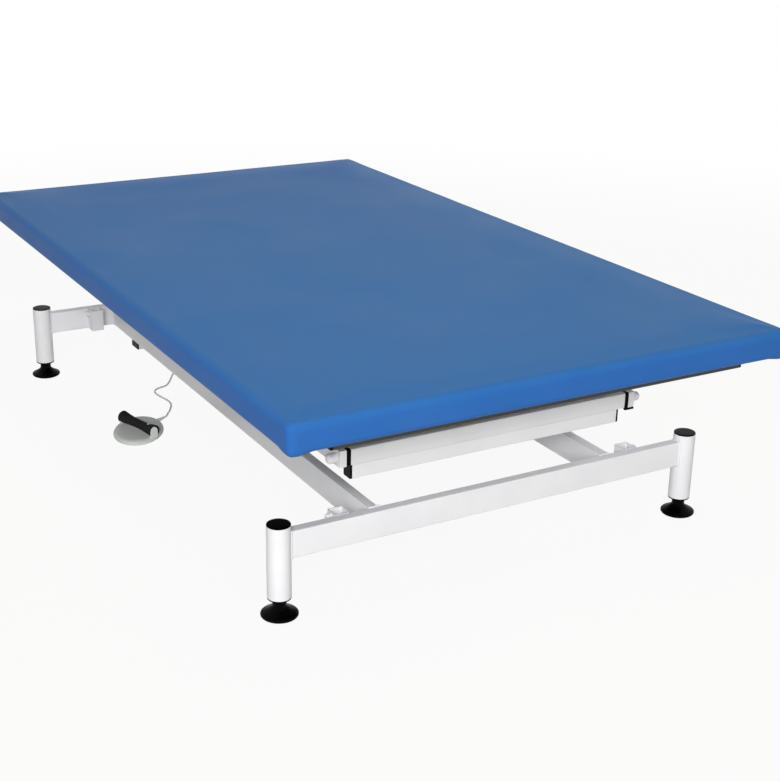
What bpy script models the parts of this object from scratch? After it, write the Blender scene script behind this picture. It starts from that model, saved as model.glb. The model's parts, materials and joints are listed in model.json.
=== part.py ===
"""Electric Bobath table: a padded top on a parallel-arm lift over a welded base, with a foot switch.

Metres, +Z up. The floor is Z = 0, the middle of the base is X = Y = 0 and the front end faces -Y.
The top is modelled at its lowest setting, with the lift arms level.
"""

import math

import bmesh
import bpy
from mathutils import Matrix, Vector

# Clearances
GAP = 0.0003
RUN = 0.0004

# Padded top
TOP_LENGTH = 2.000
TOP_WIDTH = 1.190
TOP_HEIGHT = 0.505
PAD_THICK = 0.0625
PAD_CORNER_R = 0.022
PAD_TOP_R = 0.018
PAD_BOTTOM_R = 0.008
PAD_CROWN = 0.004
PAD_DRAW_IN = 0.0015
SKIRT_LAND = 0.0035
BOARD_THICK = 0.018
CROWN_RINGS = (0.94, 0.80, 0.55, 0.28)

# Frame under the top
TUBE_WALL = 0.002
TUBE_CORNER_R = 0.003
FRAME_TUBE_W = 0.040
FRAME_TUBE_H = 0.020
FRAME_END_INSET = 0.034
FRAME_SIDE_INSET = 0.102
FRAME_RAIL_X = 0.300
FRAME_PLUG_T = 0.004
HANGER_W = 0.025
HANGER_D = 0.040
PLUG_DEPTH = 0.014

# Lift
PIVOT_Z = 0.305
PIVOT_FRONT_Y = -0.756
PIVOT_REAR_Y = 0.080
ARM_LENGTH = 0.620
ARM_T = 0.016
ARM_H = 0.036
ARM_NOSE = 0.015
ARM_EYE_R = 0.026
PIVOT_BAR_LENGTH = 0.692
PIVOT_BAR_H = 0.036
PIVOT_CAP_T = 0.0095
CAP_FOOT_H = 0.005
CAP_FOOT_D = 0.007
LOWER_BAR_LENGTH = 0.671
LOWER_BAR_H = 0.0365
LOWER_BAR_D = 0.030
LOWER_BAR_SETBACK = 0.014
LOWER_PLUG_T = 0.0045
AXLE_D = 0.014
DOME_D = 0.021
DOME_LENGTH = 0.023
DOME_ROUND = 0.75
TORQUE_D = 0.034
BEARING_T = 0.012
BEARING_R = 0.031
BEARING_FOOT = 0.150
BEARING_BOSS = 0.030

# Crank and actuator
CRANK_LENGTH = 0.175
CRANK_ANGLE = math.radians(36)
CRANK_T = 0.010
CRANK_GAP = 0.034
CRANK_HUB_R = 0.030
CRANK_TIP_R = 0.020
CRANK_PIN_D = 0.014
SLOT_TRAVEL = 0.0145
SLOT_PLAY = 0.001
SLOT_SIDE = 0.0019
PIN_HEAD_D = 0.022
PIN_HEAD_T = 0.004
ACTUATOR_PIVOT_Z = 0.130
EAR_REACH = 0.031
EAR_T = 0.008
EAR_R = 0.016
REAR_EYE_T = 0.027
REAR_NECK_H = 0.026
REAR_PIN_D = 0.012
CASE_START = 0.020
CASE_LENGTH = 0.095
CASE_R = 0.040
MOTOR_X = 0.068
MOTOR_R = 0.031
MOTOR_LENGTH = 0.135
MOTOR_CAP_T = 0.006
OUTER_TUBE_D = 0.045
OUTER_TUBE_LENGTH = 0.360
ROD_D = 0.020
ROD_IN_TUBE = 0.165
ROD_COLLAR_D = 0.030
ROD_COLLAR_T = 0.012
ROD_EYE_T = 0.030
ROD_EYE_R = 0.016

# Base
LEG_X = 0.516
LEG_Y = 0.788
LEG_D = 0.050
LEG_WALL = 0.0025
BASE_HEIGHT = 0.2053
LEG_RIM_T = 0.003
LEG_PLUG_DEPTH = 0.016
BAR_H = 0.060
BAR_W = 0.025
BAR_TOP = 0.1875
RAIL_X = 0.2975
SOCKET_SIZE = 0.035
SOCKET_WALL = 0.0025
SOCKET_X = 0.3675
SOCKET_DEPTH = 0.060
SOCKET_BOSS_D = 0.015
SOCKET_BOSS_T = 0.003
SCREW_DROP = 0.010
SCREW_D = 0.008
SCREW_REACH = 0.004
KNOB_D = 0.016
KNOB_T = 0.010
ANCHOR_Y = 0.596
ANCHOR_W = 0.050
ANCHOR_H = 0.016
ANCHOR_PLUG_T = 0.003

# Levelling feet
FOOT_HEIGHT = 0.0405
FOOT_D = 0.078
FOOT_SOLE_D = 0.066
FOOT_NECK_D = 0.029
FOOT_SOLE_H = 0.004
FOOT_RIM_H = 0.008
FOOT_DOME_H = 0.026
FOOT_FLARE = (0.0, 0.12, 0.32, 0.6, 1.0)
FOOT_FLARE_POWER = 1.6
STEM_D = 0.010
STEM_LENGTH = 0.045

# Control box
BOX_X = -0.190
BOX_SIZE = (0.150, 0.160, 0.058)
BOX_EDGE_R = 0.006
INLET_SIZE = (0.027, 0.020)
INLET_DEPTH = 0.012
GLAND_D = 0.013
GLAND_T = 0.012
GLAND_AT = Vector((-0.158, 0.652, 0.0))

# Foot switch
PLATE_AT = Vector((-0.4305, 0.2530, 0.0))
PLATE_TURN = math.radians(-28)
PLATE_WIDTH = 0.1294
PLATE_LENGTH = 0.188
PLATE_THICK = 0.012
ROCKER_AT = Vector((-0.4325, 0.2460, 0.0))
ROCKER_TURN = math.radians(15.4)
PLATE_LEVELS = ((0.975, 0.0), (1.0, 0.2), (0.985, 0.5), (0.935, 0.8), (0.82, 1.0))
ROCKER_LENGTH = 0.140
ROCKER_END_R = 0.0165
ROCKER_WAIST_R = 0.0115
ROCKER_Z = 0.0265
ROCKER_CUT = 0.0102
CHEEK_R = 0.0115
CHEEK_T = 0.007
CHEEK_ROOM = 0.0018
ROCKER_PIN_D = 0.006
ROCKER_PIN_LENGTH = 0.005
RELIEF_D = 0.010
RELIEF_MOUTH_D = 0.007
RELIEF_ROOT = 0.066
RELIEF_TAPER = 0.090
RELIEF_MOUTH = 0.1045
RELIEF_TURN = math.radians(31)

# Foot switch lead
LEAD_D = 0.005
LEAD_POINTS = 44
LEAD_SAMPLES = 400
LEAD_ROUTE = (
    (-0.319, 0.332),
    (-0.300, 0.361),
    (-0.283, 0.400),
    (-0.282, 0.429),
    (-0.2875, 0.460),
    (-0.2915, 0.490),
    (-0.289, 0.508),
    (-0.280, 0.522),
    (-0.263, 0.532),
    (-0.246, 0.538),
    (-0.230, 0.555),
    (-0.214, 0.580),
    (-0.188, 0.624),
    (-0.170, 0.645),
)
LEAD_RISE = 0.030

# Facets
LEG_SIDES = 24
BOSS_SIDES = 28
PIN_SIDES = 16
SMALL_PIN_SIDES = 12
ROCKER_SIDES = 24
ROCKER_STEPS = 10
PLATE_SIDES = 36
ARC_STEPS = 8
CORNER_STEPS = 2
SHARP_ANGLE = math.radians(32)

# Derived heights and places
PAD_BOTTOM = TOP_HEIGHT - PAD_THICK
BOARD_MARGIN = PAD_BOTTOM_R + PAD_DRAW_IN + SKIRT_LAND
FRAME_LENGTH = TOP_LENGTH - 2 * FRAME_END_INSET
FRAME_WIDTH = TOP_WIDTH - 2 * FRAME_SIDE_INSET
FRAME_TOP = PAD_BOTTOM - GAP
FRAME_BOTTOM = FRAME_TOP - FRAME_TUBE_H
PIVOT_BAR_D = 2 * ARM_NOSE
ARM_INNER_X = PIVOT_BAR_LENGTH / 2 + PIVOT_CAP_T + 2 * GAP
ARM_OUTER_X = ARM_INNER_X + ARM_T
LOW_FRONT_Y = PIVOT_FRONT_Y + ARM_LENGTH
LOW_REAR_Y = PIVOT_REAR_Y + ARM_LENGTH
BAR_BOTTOM = BAR_TOP - BAR_H
BAR_INNER_Y = LEG_Y - BAR_W / 2
LOWER_BAR_TOP = PIVOT_Z - PIVOT_BAR_H / 2 - GAP
LOWER_BAR_FRONT = PIVOT_FRONT_Y - PIVOT_BAR_D / 2 + LOWER_BAR_SETBACK
ANCHOR_TOP = BAR_BOTTOM - GAP
ACTUATOR_PIVOT_Y = ANCHOR_Y - ANCHOR_W / 2 - EAR_REACH
CRANK_PIN = Vector((
    0.0,
    LOW_FRONT_Y + CRANK_LENGTH * math.sin(CRANK_ANGLE),
    PIVOT_Z - CRANK_LENGTH * math.cos(CRANK_ANGLE),
))
ACTUATOR_PIVOT = Vector((0.0, ACTUATOR_PIVOT_Y, ACTUATOR_PIVOT_Z))
ACTUATOR_SPAN = (CRANK_PIN - ACTUATOR_PIVOT).length
ACTUATOR_TILT = math.atan2(CRANK_PIN.z - ACTUATOR_PIVOT_Z, ACTUATOR_PIVOT_Y - CRANK_PIN.y)
SIDES = (("left", -1), ("right", 1))
ENDS = (("front", -1), ("rear", 1))
CORNERS = tuple((f"{e}_{s}", sx, sy) for e, sy in ENDS for s, sx in SIDES)


# Scene helpers
def clear_scene():
    for thing in list(bpy.data.objects):
        bpy.data.objects.remove(thing, do_unlink=True)


def srgb(code):
    channels = (int(code[i:i + 2], 16) / 255 for i in (1, 3, 5))
    return tuple(c / 12.92 if c <= 0.04045 else ((c + 0.055) / 1.055) ** 2.4 for c in channels)


def material(name, colour, roughness, metallic=0.0):
    made = bpy.data.materials.new(name)
    made.use_nodes = True
    shader = made.node_tree.nodes["Principled BSDF"]
    shader.inputs["Base Color"].default_value = (*srgb(colour), 1.0)
    shader.inputs["Roughness"].default_value = roughness
    shader.inputs["Metallic"].default_value = metallic
    made.diffuse_color = (*srgb(colour), 1.0)
    return made


def group(name, place=(0.0, 0.0, 0.0), turn=(0.0, 0.0, 0.0)):
    empty = bpy.data.objects.new(name, None)
    bpy.context.collection.objects.link(empty)
    empty.location = place
    empty.rotation_euler = turn
    return empty


def solid(name, bm, finish, owner, origin=(0.0, 0.0, 0.0), local=False):
    """One object from a mesh in world places, or in the owner's own places where local is set."""
    origin = Vector(origin)
    shift = origin if local else origin + owner.location
    bmesh.ops.translate(bm, verts=bm.verts, vec=-shift)
    bmesh.ops.recalc_face_normals(bm, faces=bm.faces)
    mesh = bpy.data.meshes.new(name)
    bm.to_mesh(mesh)
    bm.free()
    mesh.shade_smooth()
    mesh.set_sharp_from_angle(angle=SHARP_ANGLE)
    made = bpy.data.objects.new(name, mesh)
    bpy.context.collection.objects.link(made)
    made.parent = owner
    made.location = origin
    if finish:
        mesh.materials.append(finish)
    return made


def helper(name, bm, owner, local=False):
    made = solid(name, bm, None, owner, local=local)
    made.hide_render = True
    made.display_type = "WIRE"
    return made


def combine(target, tools, operation):
    for tool in tools:
        step = target.modifiers.new(tool.name, "BOOLEAN")
        step.operation = operation
        step.solver = "EXACT"
        step.object = tool


def join(target, *tools):
    combine(target, tools, "UNION")


def cut(target, *tools):
    combine(target, tools, "DIFFERENCE")


# Outlines: lists of (u, v) points, anticlockwise
def arc(cu, cv, radius, start, end, steps):
    angles = (start + (end - start) * i / steps for i in range(steps + 1))
    return [(cu + radius * math.cos(a), cv + radius * math.sin(a)) for a in angles]


def rounded_rect(width, height, radius, steps=CORNER_STEPS):
    u, v = width / 2 - radius, height / 2 - radius
    quarter = math.pi / 2
    points = []
    for i, (su, sv) in enumerate(((1, 1), (-1, 1), (-1, -1), (1, -1))):
        points += arc(su * u, sv * v, radius, i * quarter, (i + 1) * quarter, steps)
    return points


def shifted(loop, du, dv):
    return [(u + du, v + dv) for u, v in loop]


def capsule(u1, v1, r1, u2, v2, r2, steps):
    """The outline round two circles and the straight lines that touch both."""
    along = math.atan2(v2 - v1, u2 - u1)
    lean = math.acos((r1 - r2) / math.hypot(u2 - u1, v2 - v1))
    loop = arc(u1, v1, r1, along + lean, along + math.tau - lean, steps)
    return loop + arc(u2, v2, r2, along - lean, along + lean, steps)


def placed(axis, u, v, w):
    return {"X": (w, u, v), "Y": (u, w, v), "Z": (u, v, w)}[axis]


# Solids added to a mesh
def add_prism(bm, loop, axis, start, end):
    rings = [[bm.verts.new(placed(axis, u, v, w)) for u, v in loop] for w in (start, end)]
    bridge(bm, rings)
    bm.faces.new(rings[0])
    bm.faces.new(rings[1])


def bridge(bm, rings, closed=False):
    pairs = list(zip(rings, rings[1:]))
    if closed:
        pairs.append((rings[-1], rings[0]))
    for low, high in pairs:
        count = len(low)
        for i in range(count):
            j = (i + 1) % count
            bm.faces.new((low[i], low[j], high[j], high[i]))


def add_tube(bm, outer, inner, axis, start, end):
    walls = ((outer, start), (outer, end), (inner, end), (inner, start))
    rings = [[bm.verts.new(placed(axis, u, v, w)) for u, v in loop] for loop, w in walls]
    bridge(bm, rings, closed=True)


def add_rect_tube(bm, size, middle, axis, start, end, wall=TUBE_WALL):
    outer = rounded_rect(*size, TUBE_CORNER_R)
    inner_r = max(TUBE_CORNER_R - wall, wall / 4)
    inner = rounded_rect(size[0] - 2 * wall, size[1] - 2 * wall, inner_r)
    add_tube(bm, shifted(outer, *middle), shifted(inner, *middle), axis, start, end)


def add_lathe(bm, profile, axis, middle, sides, closed=False):
    """A turned solid. The profile holds (place along the axis, radius); closed turns a ring with a bore."""
    rings = []
    for w, radius in profile:
        if radius == 0.0:
            rings.append([bm.verts.new(placed(axis, *middle, w))])
            continue
        turns = (math.tau * i / sides for i in range(sides))
        rings.append([
            bm.verts.new(placed(
                axis, middle[0] + radius * math.cos(a), middle[1] + radius * math.sin(a), w,
            ))
            for a in turns
        ])
    pairs = list(zip(rings, rings[1:]))
    if closed:
        pairs.append((rings[-1], rings[0]))
    for low, high in pairs:
        for i in range(sides):
            j = (i + 1) % sides
            corners = [low[i % len(low)], low[j % len(low)], high[j % len(high)], high[i % len(high)]]
            bm.faces.new(list(dict.fromkeys(corners)))


def add_rod(bm, axis, middle, radius, start, end, sides=PIN_SIDES):
    add_lathe(bm, ((start, 0.0), (start, radius), (end, radius), (end, 0.0)), axis, middle, sides)


def dome_profile(start, radius, length, steps=4):
    """A nut's skirt and round end, running outwards from start along the axis."""
    skirt = abs(length) - radius * DOME_ROUND
    sign = math.copysign(1.0, length)
    points = [(start, radius), (start + sign * skirt, radius)]
    for i in range(1, steps + 1):
        turn = math.pi / 2 * i / steps
        reach = start + sign * (skirt + radius * DOME_ROUND * math.sin(turn))
        points.append((reach, 0.0 if i == steps else radius * math.cos(turn)))
    return points


def flange_plug(size, middle, axis, face, thick, outward, wall=TUBE_WALL):
    """A tube's end plug: a flange over the end face at face, and a core inside the tube."""
    bm = bmesh.new()
    flange = shifted(rounded_rect(*size, TUBE_CORNER_R), *middle)
    clear = 2 * (wall + GAP)
    core = shifted(rounded_rect(size[0] - clear, size[1] - clear, TUBE_CORNER_R / 2), *middle)
    rings = [
        (core, face - outward * PLUG_DEPTH),
        (core, face + outward * GAP),
        (flange, face + outward * GAP),
        (flange, face + outward * (GAP + thick)),
    ]
    verts = [[bm.verts.new(placed(axis, u, v, w)) for u, v in loop] for loop, w in rings]
    bridge(bm, verts)
    bm.faces.new(verts[0])
    bm.faces.new(verts[-1])
    return bm


# Base
def build_leg(name, sx, sy, base, looks):
    x, y = sx * LEG_X, sy * LEG_Y
    inner_r = LEG_D / 2 - LEG_WALL
    plug_r = inner_r - GAP
    rim_bottom = FOOT_HEIGHT + GAP
    tube_bottom = rim_bottom + LEG_RIM_T + GAP
    tube_top = BASE_HEIGHT - LEG_RIM_T - GAP
    bore_r = STEM_D / 2 + RUN

    bm = bmesh.new()
    walls = ((tube_bottom, LEG_D / 2), (tube_top, LEG_D / 2), (tube_top, inner_r), (tube_bottom, inner_r))
    add_lathe(bm, walls, "Z", (x, y), LEG_SIDES, closed=True)
    solid(f"leg_{name}", bm, looks["white"], base)

    bm = bmesh.new()
    seat = tube_top + GAP
    cap = (
        (tube_top - LEG_PLUG_DEPTH, 0.0), (tube_top - LEG_PLUG_DEPTH, plug_r), (seat, plug_r),
        (seat, LEG_D / 2), (BASE_HEIGHT - LEG_RIM_T / 3, LEG_D / 2),
        (BASE_HEIGHT, LEG_D / 2 - LEG_RIM_T / 2), (BASE_HEIGHT, 0.0),
    )
    add_lathe(bm, cap, "Z", (x, y), LEG_SIDES)
    solid(f"leg_cap_{name}", bm, looks["black"], base)

    bm = bmesh.new()
    seat = tube_bottom - GAP
    insert = (
        (rim_bottom, bore_r), (rim_bottom, LEG_D / 2), (seat, LEG_D / 2), (seat, plug_r),
        (tube_bottom + LEG_PLUG_DEPTH, plug_r), (tube_bottom + LEG_PLUG_DEPTH, bore_r),
    )
    add_lathe(bm, insert, "Z", (x, y), LEG_SIDES, closed=True)
    solid(f"leg_insert_{name}", bm, looks["black"], base)

    bm = bmesh.new()
    neck = FOOT_NECK_D / 2
    rim = FOOT_D / 2
    flare = [
        (FOOT_RIM_H + (FOOT_DOME_H - FOOT_RIM_H) * t, neck + (rim - neck) * (1 - t) ** FOOT_FLARE_POWER)
        for t in FOOT_FLARE
    ]
    foot = [(0.0, 0.0), (0.0, FOOT_SOLE_D / 2), (FOOT_SOLE_H, rim)] + flare
    foot += [
        (FOOT_HEIGHT, neck), (FOOT_HEIGHT, STEM_D / 2),
        (FOOT_HEIGHT + STEM_LENGTH, STEM_D / 2), (FOOT_HEIGHT + STEM_LENGTH, 0.0),
    ]
    add_lathe(bm, foot, "Z", (x, y), LEG_SIDES)
    solid(f"levelling_foot_{name}", bm, looks["black"], base, origin=(x, y, 0.0))


def build_crossbar(end, sy, base, looks):
    bm = bmesh.new()
    middle = (sy * LEG_Y, BAR_TOP - BAR_H / 2)
    add_rect_tube(bm, (BAR_W, BAR_H), middle, "X", -LEG_X, LEG_X)
    bar = solid(f"base_crossbar_{end}", bm, looks["white"], base)
    for side, sx in SIDES:
        bm = bmesh.new()
        place = (sx * LEG_X, sy * LEG_Y)
        add_rod(bm, "Z", place, LEG_D / 2 + GAP, BAR_BOTTOM - BAR_W, BAR_TOP + BAR_W, LEG_SIDES)
        cut(bar, helper(f"cope_{end}_{side}", bm, base))


def bearing_outline(y):
    """A foot on the rail and straight flanks that touch a round head."""
    sink = BAR_TOP - TUBE_WALL / 2
    half = BEARING_FOOT / 2
    reach = math.hypot(half, PIVOT_Z - sink)
    start = math.atan2(half, PIVOT_Z - sink) + math.acos(BEARING_R / reach) - math.pi / 2
    loop = [(y - half, sink), (y + half, sink)]
    return loop + arc(y, PIVOT_Z, BEARING_R, start, math.pi - start, ARC_STEPS)


def build_rail(side, sx, base, looks):
    bm = bmesh.new()
    reach = BAR_INNER_Y - GAP
    add_rect_tube(bm, (BAR_W, BAR_H), (sx * RAIL_X, BAR_TOP - BAR_H / 2), "Y", -reach, reach)
    rail = solid(f"base_rail_{side}", bm, looks["white"], base)
    for end, y in (("front", LOW_FRONT_Y), ("rear", LOW_REAR_Y)):
        bm = bmesh.new()
        middle = sx * RAIL_X
        add_prism(bm, bearing_outline(y), "X", middle - BEARING_T / 2, middle + BEARING_T / 2)
        plate = helper(f"bearing_plate_{end}_{side}", bm, base)
        bm = bmesh.new()
        boss_r = BEARING_R - TUBE_WALL
        half = BEARING_BOSS / 2
        add_rod(bm, "X", (y, PIVOT_Z), boss_r, middle - half, middle + half, BOSS_SIDES)
        boss = helper(f"bearing_boss_{end}_{side}", bm, base)
        bm = bmesh.new()
        bore_r = TORQUE_D / 2 + RUN
        add_rod(bm, "X", (y, PIVOT_Z), bore_r, middle - BEARING_BOSS, middle + BEARING_BOSS, LEG_SIDES)
        bore = helper(f"bearing_bore_{end}_{side}", bm, base)
        join(rail, plate, boss)
        cut(rail, bore)


def build_socket(name, sx, sy, base, looks):
    x = sx * SOCKET_X
    y = sy * (BAR_INNER_Y - GAP - SOCKET_SIZE / 2)
    wall_x = x + sx * SOCKET_SIZE / 2
    screw_z = BAR_TOP - SCREW_DROP
    bm = bmesh.new()
    add_rect_tube(
        bm, (SOCKET_SIZE, SOCKET_SIZE), (x, y), "Z", BAR_TOP - SOCKET_DEPTH, BAR_TOP, SOCKET_WALL,
    )
    socket = solid(f"post_socket_{name}", bm, looks["white"], base)
    bm = bmesh.new()
    boss_start = wall_x - sx * SOCKET_WALL / 2
    add_rod(bm, "X", (y, screw_z), SOCKET_BOSS_D / 2, boss_start, wall_x + sx * SOCKET_BOSS_T)
    boss = helper(f"screw_boss_{name}", bm, base)
    bm = bmesh.new()
    bore_r = SCREW_D / 2 + RUN
    add_rod(bm, "X", (y, screw_z), bore_r, wall_x - sx * 2 * SOCKET_WALL, wall_x + sx * 2 * SOCKET_BOSS_T)
    bore = helper(f"screw_bore_{name}", bm, base)
    join(socket, boss)
    cut(socket, bore)

    bm = bmesh.new()
    tip = wall_x - sx * (SOCKET_WALL + SCREW_REACH)
    head = wall_x + sx * (SOCKET_BOSS_T + GAP)
    shank = [(tip, 0.0), (tip, SCREW_D / 2), (head, SCREW_D / 2)]
    add_lathe(bm, shank + dome_profile(head, KNOB_D / 2, sx * KNOB_T), "X", (y, screw_z), PIN_SIDES)
    solid(f"clamp_screw_{name}", bm, looks["white"], base, origin=(head, y, screw_z))


def build_anchor(base, looks):
    bm = bmesh.new()
    half = RAIL_X + BAR_W / 2 - ANCHOR_PLUG_T - GAP
    size = (ANCHOR_W, ANCHOR_H)
    middle = (ANCHOR_Y, ANCHOR_TOP - ANCHOR_H / 2)
    add_rect_tube(bm, size, middle, "X", -half, half)
    anchor = solid("actuator_anchor_tube", bm, looks["white"], base)
    front = ANCHOR_Y - ANCHOR_W / 2
    for side, sx in SIDES:
        plug = flange_plug(size, middle, "X", sx * half, ANCHOR_PLUG_T, sx)
        solid(f"anchor_plug_{side}", plug, looks["black"], base)
        bm = bmesh.new()
        inner = sx * (REAR_EYE_T / 2 + RUN)
        loop = arc(ACTUATOR_PIVOT_Y, ACTUATOR_PIVOT_Z, EAR_R, math.pi / 2, 3 * math.pi / 2, ARC_STEPS)
        loop += [
            (front + TUBE_CORNER_R, ACTUATOR_PIVOT_Z - EAR_R),
            (front + ANCHOR_W / 2, ANCHOR_TOP - TUBE_WALL / 2),
            (front + TUBE_CORNER_R, ACTUATOR_PIVOT_Z + EAR_R),
        ]
        add_prism(bm, loop, "X", inner, inner + sx * EAR_T)
        join(anchor, helper(f"anchor_ear_{side}", bm, base))
    bm = bmesh.new()
    reach = REAR_EYE_T / 2 + 2 * EAR_T
    add_rod(bm, "X", (ACTUATOR_PIVOT_Y, ACTUATOR_PIVOT_Z), REAR_PIN_D / 2 + RUN, -reach, reach)
    cut(anchor, helper("anchor_bore", bm, base))


def build_control_box(base, looks):
    width, length, height = BOX_SIZE
    bottom = ANCHOR_TOP + GAP
    rear = ANCHOR_Y + length / 2
    bm = bmesh.new()
    loop = shifted(rounded_rect(width, length, BOX_EDGE_R), BOX_X, ANCHOR_Y)
    lid = shifted(rounded_rect(width - BOX_EDGE_R, length - BOX_EDGE_R, BOX_EDGE_R), BOX_X, ANCHOR_Y)
    levels = ((loop, bottom), (loop, bottom + height - BOX_EDGE_R), (lid, bottom + height))
    rings = [[bm.verts.new((u, v, z)) for u, v in outline] for outline, z in levels]
    bridge(bm, rings)
    bm.faces.new(rings[0])
    bm.faces.new(rings[-1])
    box = solid("control_box", bm, looks["grey"], base)
    bm = bmesh.new()
    recess = shifted(rounded_rect(*INLET_SIZE, BOX_EDGE_R / 2), BOX_X, bottom + height / 2)
    add_prism(bm, recess, "Y", rear - INLET_DEPTH, rear + INLET_DEPTH)
    cut(box, helper("mains_inlet", bm, base))
    bm = bmesh.new()
    add_rod(bm, "Z", GLAND_AT.xy, GLAND_D / 2, bottom - GLAND_T, bottom + GAP)
    join(box, helper("lead_gland", bm, base))


# Lift
def build_arm(name, low_y, owner, looks):
    """Two level arms welded to the ends of a torque tube."""
    nose = low_y - ARM_LENGTH
    bm = bmesh.new()
    reach = ARM_INNER_X + ARM_T / 2
    add_rod(bm, "X", (low_y, PIVOT_Z), TORQUE_D / 2, -reach, reach, LEG_SIDES)
    arm = solid(name, bm, looks["white"], owner)
    half = ARM_H / 2
    lean = math.asin(half / ARM_EYE_R)
    loop = [(nose - ARM_NOSE, PIVOT_Z - half)]
    loop += arc(low_y, PIVOT_Z, ARM_EYE_R, -math.pi + lean, math.pi - lean, 2 * ARC_STEPS)
    loop += [(nose - ARM_NOSE, PIVOT_Z + half)]
    for side, sx in SIDES:
        bm = bmesh.new()
        add_prism(bm, loop, "X", sx * ARM_INNER_X, sx * ARM_OUTER_X)
        join(arm, helper(f"{name}_{side}", bm, owner))
    return arm


def bore_arm(arm, low_y, owner):
    bm = bmesh.new()
    reach = ARM_OUTER_X + ARM_T
    add_rod(bm, "X", (low_y - ARM_LENGTH, PIVOT_Z), AXLE_D / 2 + RUN, -reach, reach)
    cut(arm, helper(f"{arm.name}_bore", bm, owner))


def build_crank(arm, owner):
    """Two crank plates on the torque tube, with slots along their length for the rod's end pin."""
    out = Vector((0.0, math.sin(CRANK_ANGLE), -math.cos(CRANK_ANGLE)))
    centre = Vector((0.0, LOW_FRONT_Y, PIVOT_Z))
    near = centre + out * (CRANK_LENGTH - SLOT_TRAVEL)
    far = centre + out * (CRANK_LENGTH + SLOT_PLAY)
    slot_r = CRANK_PIN_D / 2 + SLOT_SIDE
    plate = capsule(LOW_FRONT_Y, PIVOT_Z, CRANK_HUB_R, far.y, far.z, CRANK_TIP_R, ARC_STEPS)
    for side, sx in SIDES:
        bm = bmesh.new()
        add_prism(bm, plate, "X", sx * CRANK_GAP / 2, sx * (CRANK_GAP / 2 + CRANK_T))
        join(arm, helper(f"crank_plate_{side}", bm, owner))
    bm = bmesh.new()
    reach = CRANK_GAP / 2 + 2 * CRANK_T
    add_prism(bm, capsule(near.y, near.z, slot_r, far.y, far.z, slot_r, ARC_STEPS), "X", -reach, reach)
    cut(arm, helper("crank_slot", bm, owner))


def build_pivot_cap(end, side, sx, y, top, looks):
    face = sx * PIVOT_BAR_LENGTH / 2
    name = f"{end}_pivot_cap_{side}"
    cap = solid(
        name, flange_plug((PIVOT_BAR_D, PIVOT_BAR_H), (y, PIVOT_Z), "X", face, PIVOT_CAP_T, sx),
        looks["black"], top,
    )
    if (end, side) == ("front", "right"):
        bm = bmesh.new()
        front = y - PIVOT_BAR_D / 2
        low = PIVOT_Z - PIVOT_BAR_H / 2
        foot = (
            (front, low - CAP_FOOT_H - GAP), (front + CAP_FOOT_D, low - CAP_FOOT_H - GAP),
            (front + CAP_FOOT_D, low - GAP), (front + CAP_FOOT_D, low + CAP_FOOT_H),
            (front, low + CAP_FOOT_H),
        )
        start = face + sx * (GAP + PIVOT_CAP_T / 4)
        add_prism(bm, foot, "X", start, face + sx * (GAP + PIVOT_CAP_T * 3 / 4))
        heel = helper("cap_heel", bm, top)
        bm = bmesh.new()
        ledge = [p for p in foot if p[1] <= low - GAP] + [(front, low - GAP)]
        add_prism(bm, ledge, "X", start, sx * ARM_OUTER_X)
        join(cap, heel, helper("cap_foot", bm, top))
    bm = bmesh.new()
    add_rod(
        bm, "X", (y, PIVOT_Z), AXLE_D / 2 + RUN, face - sx * 2 * PLUG_DEPTH, face + sx * 2 * PIVOT_CAP_T,
    )
    cut(cap, helper(f"{name}_bore", bm, top))


def build_pivot(end, y, top, looks):
    bm = bmesh.new()
    half = PIVOT_BAR_LENGTH / 2
    add_rect_tube(bm, (PIVOT_BAR_D, PIVOT_BAR_H), (y, PIVOT_Z), "X", -half, half)
    solid(f"{end}_pivot_bar", bm, looks["white"], top)
    for side, sx in SIDES:
        build_pivot_cap(end, side, sx, y, top, looks)
    bm = bmesh.new()
    seat = ARM_OUTER_X + GAP
    right = dome_profile(seat, DOME_D / 2, DOME_LENGTH)
    left = [(-w, r) for w, r in reversed(right)]
    add_lathe(bm, left + [(-seat, AXLE_D / 2), (seat, AXLE_D / 2)] + right, "X", (y, PIVOT_Z), PIN_SIDES)
    solid(f"{end}_pivot_axle", bm, looks["white"], top)


def build_lower_bar(top, looks):
    size = (LOWER_BAR_D, LOWER_BAR_H)
    middle = (LOWER_BAR_FRONT + LOWER_BAR_D / 2, LOWER_BAR_TOP - LOWER_BAR_H / 2)
    half = LOWER_BAR_LENGTH / 2
    bm = bmesh.new()
    add_rect_tube(bm, size, middle, "X", -half, half)
    solid("front_lower_bar", bm, looks["white"], top)
    for side, sx in SIDES:
        plug = flange_plug(size, middle, "X", sx * half, LOWER_PLUG_T, sx)
        solid(f"lower_bar_plug_{side}", plug, looks["black"], top)


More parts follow.
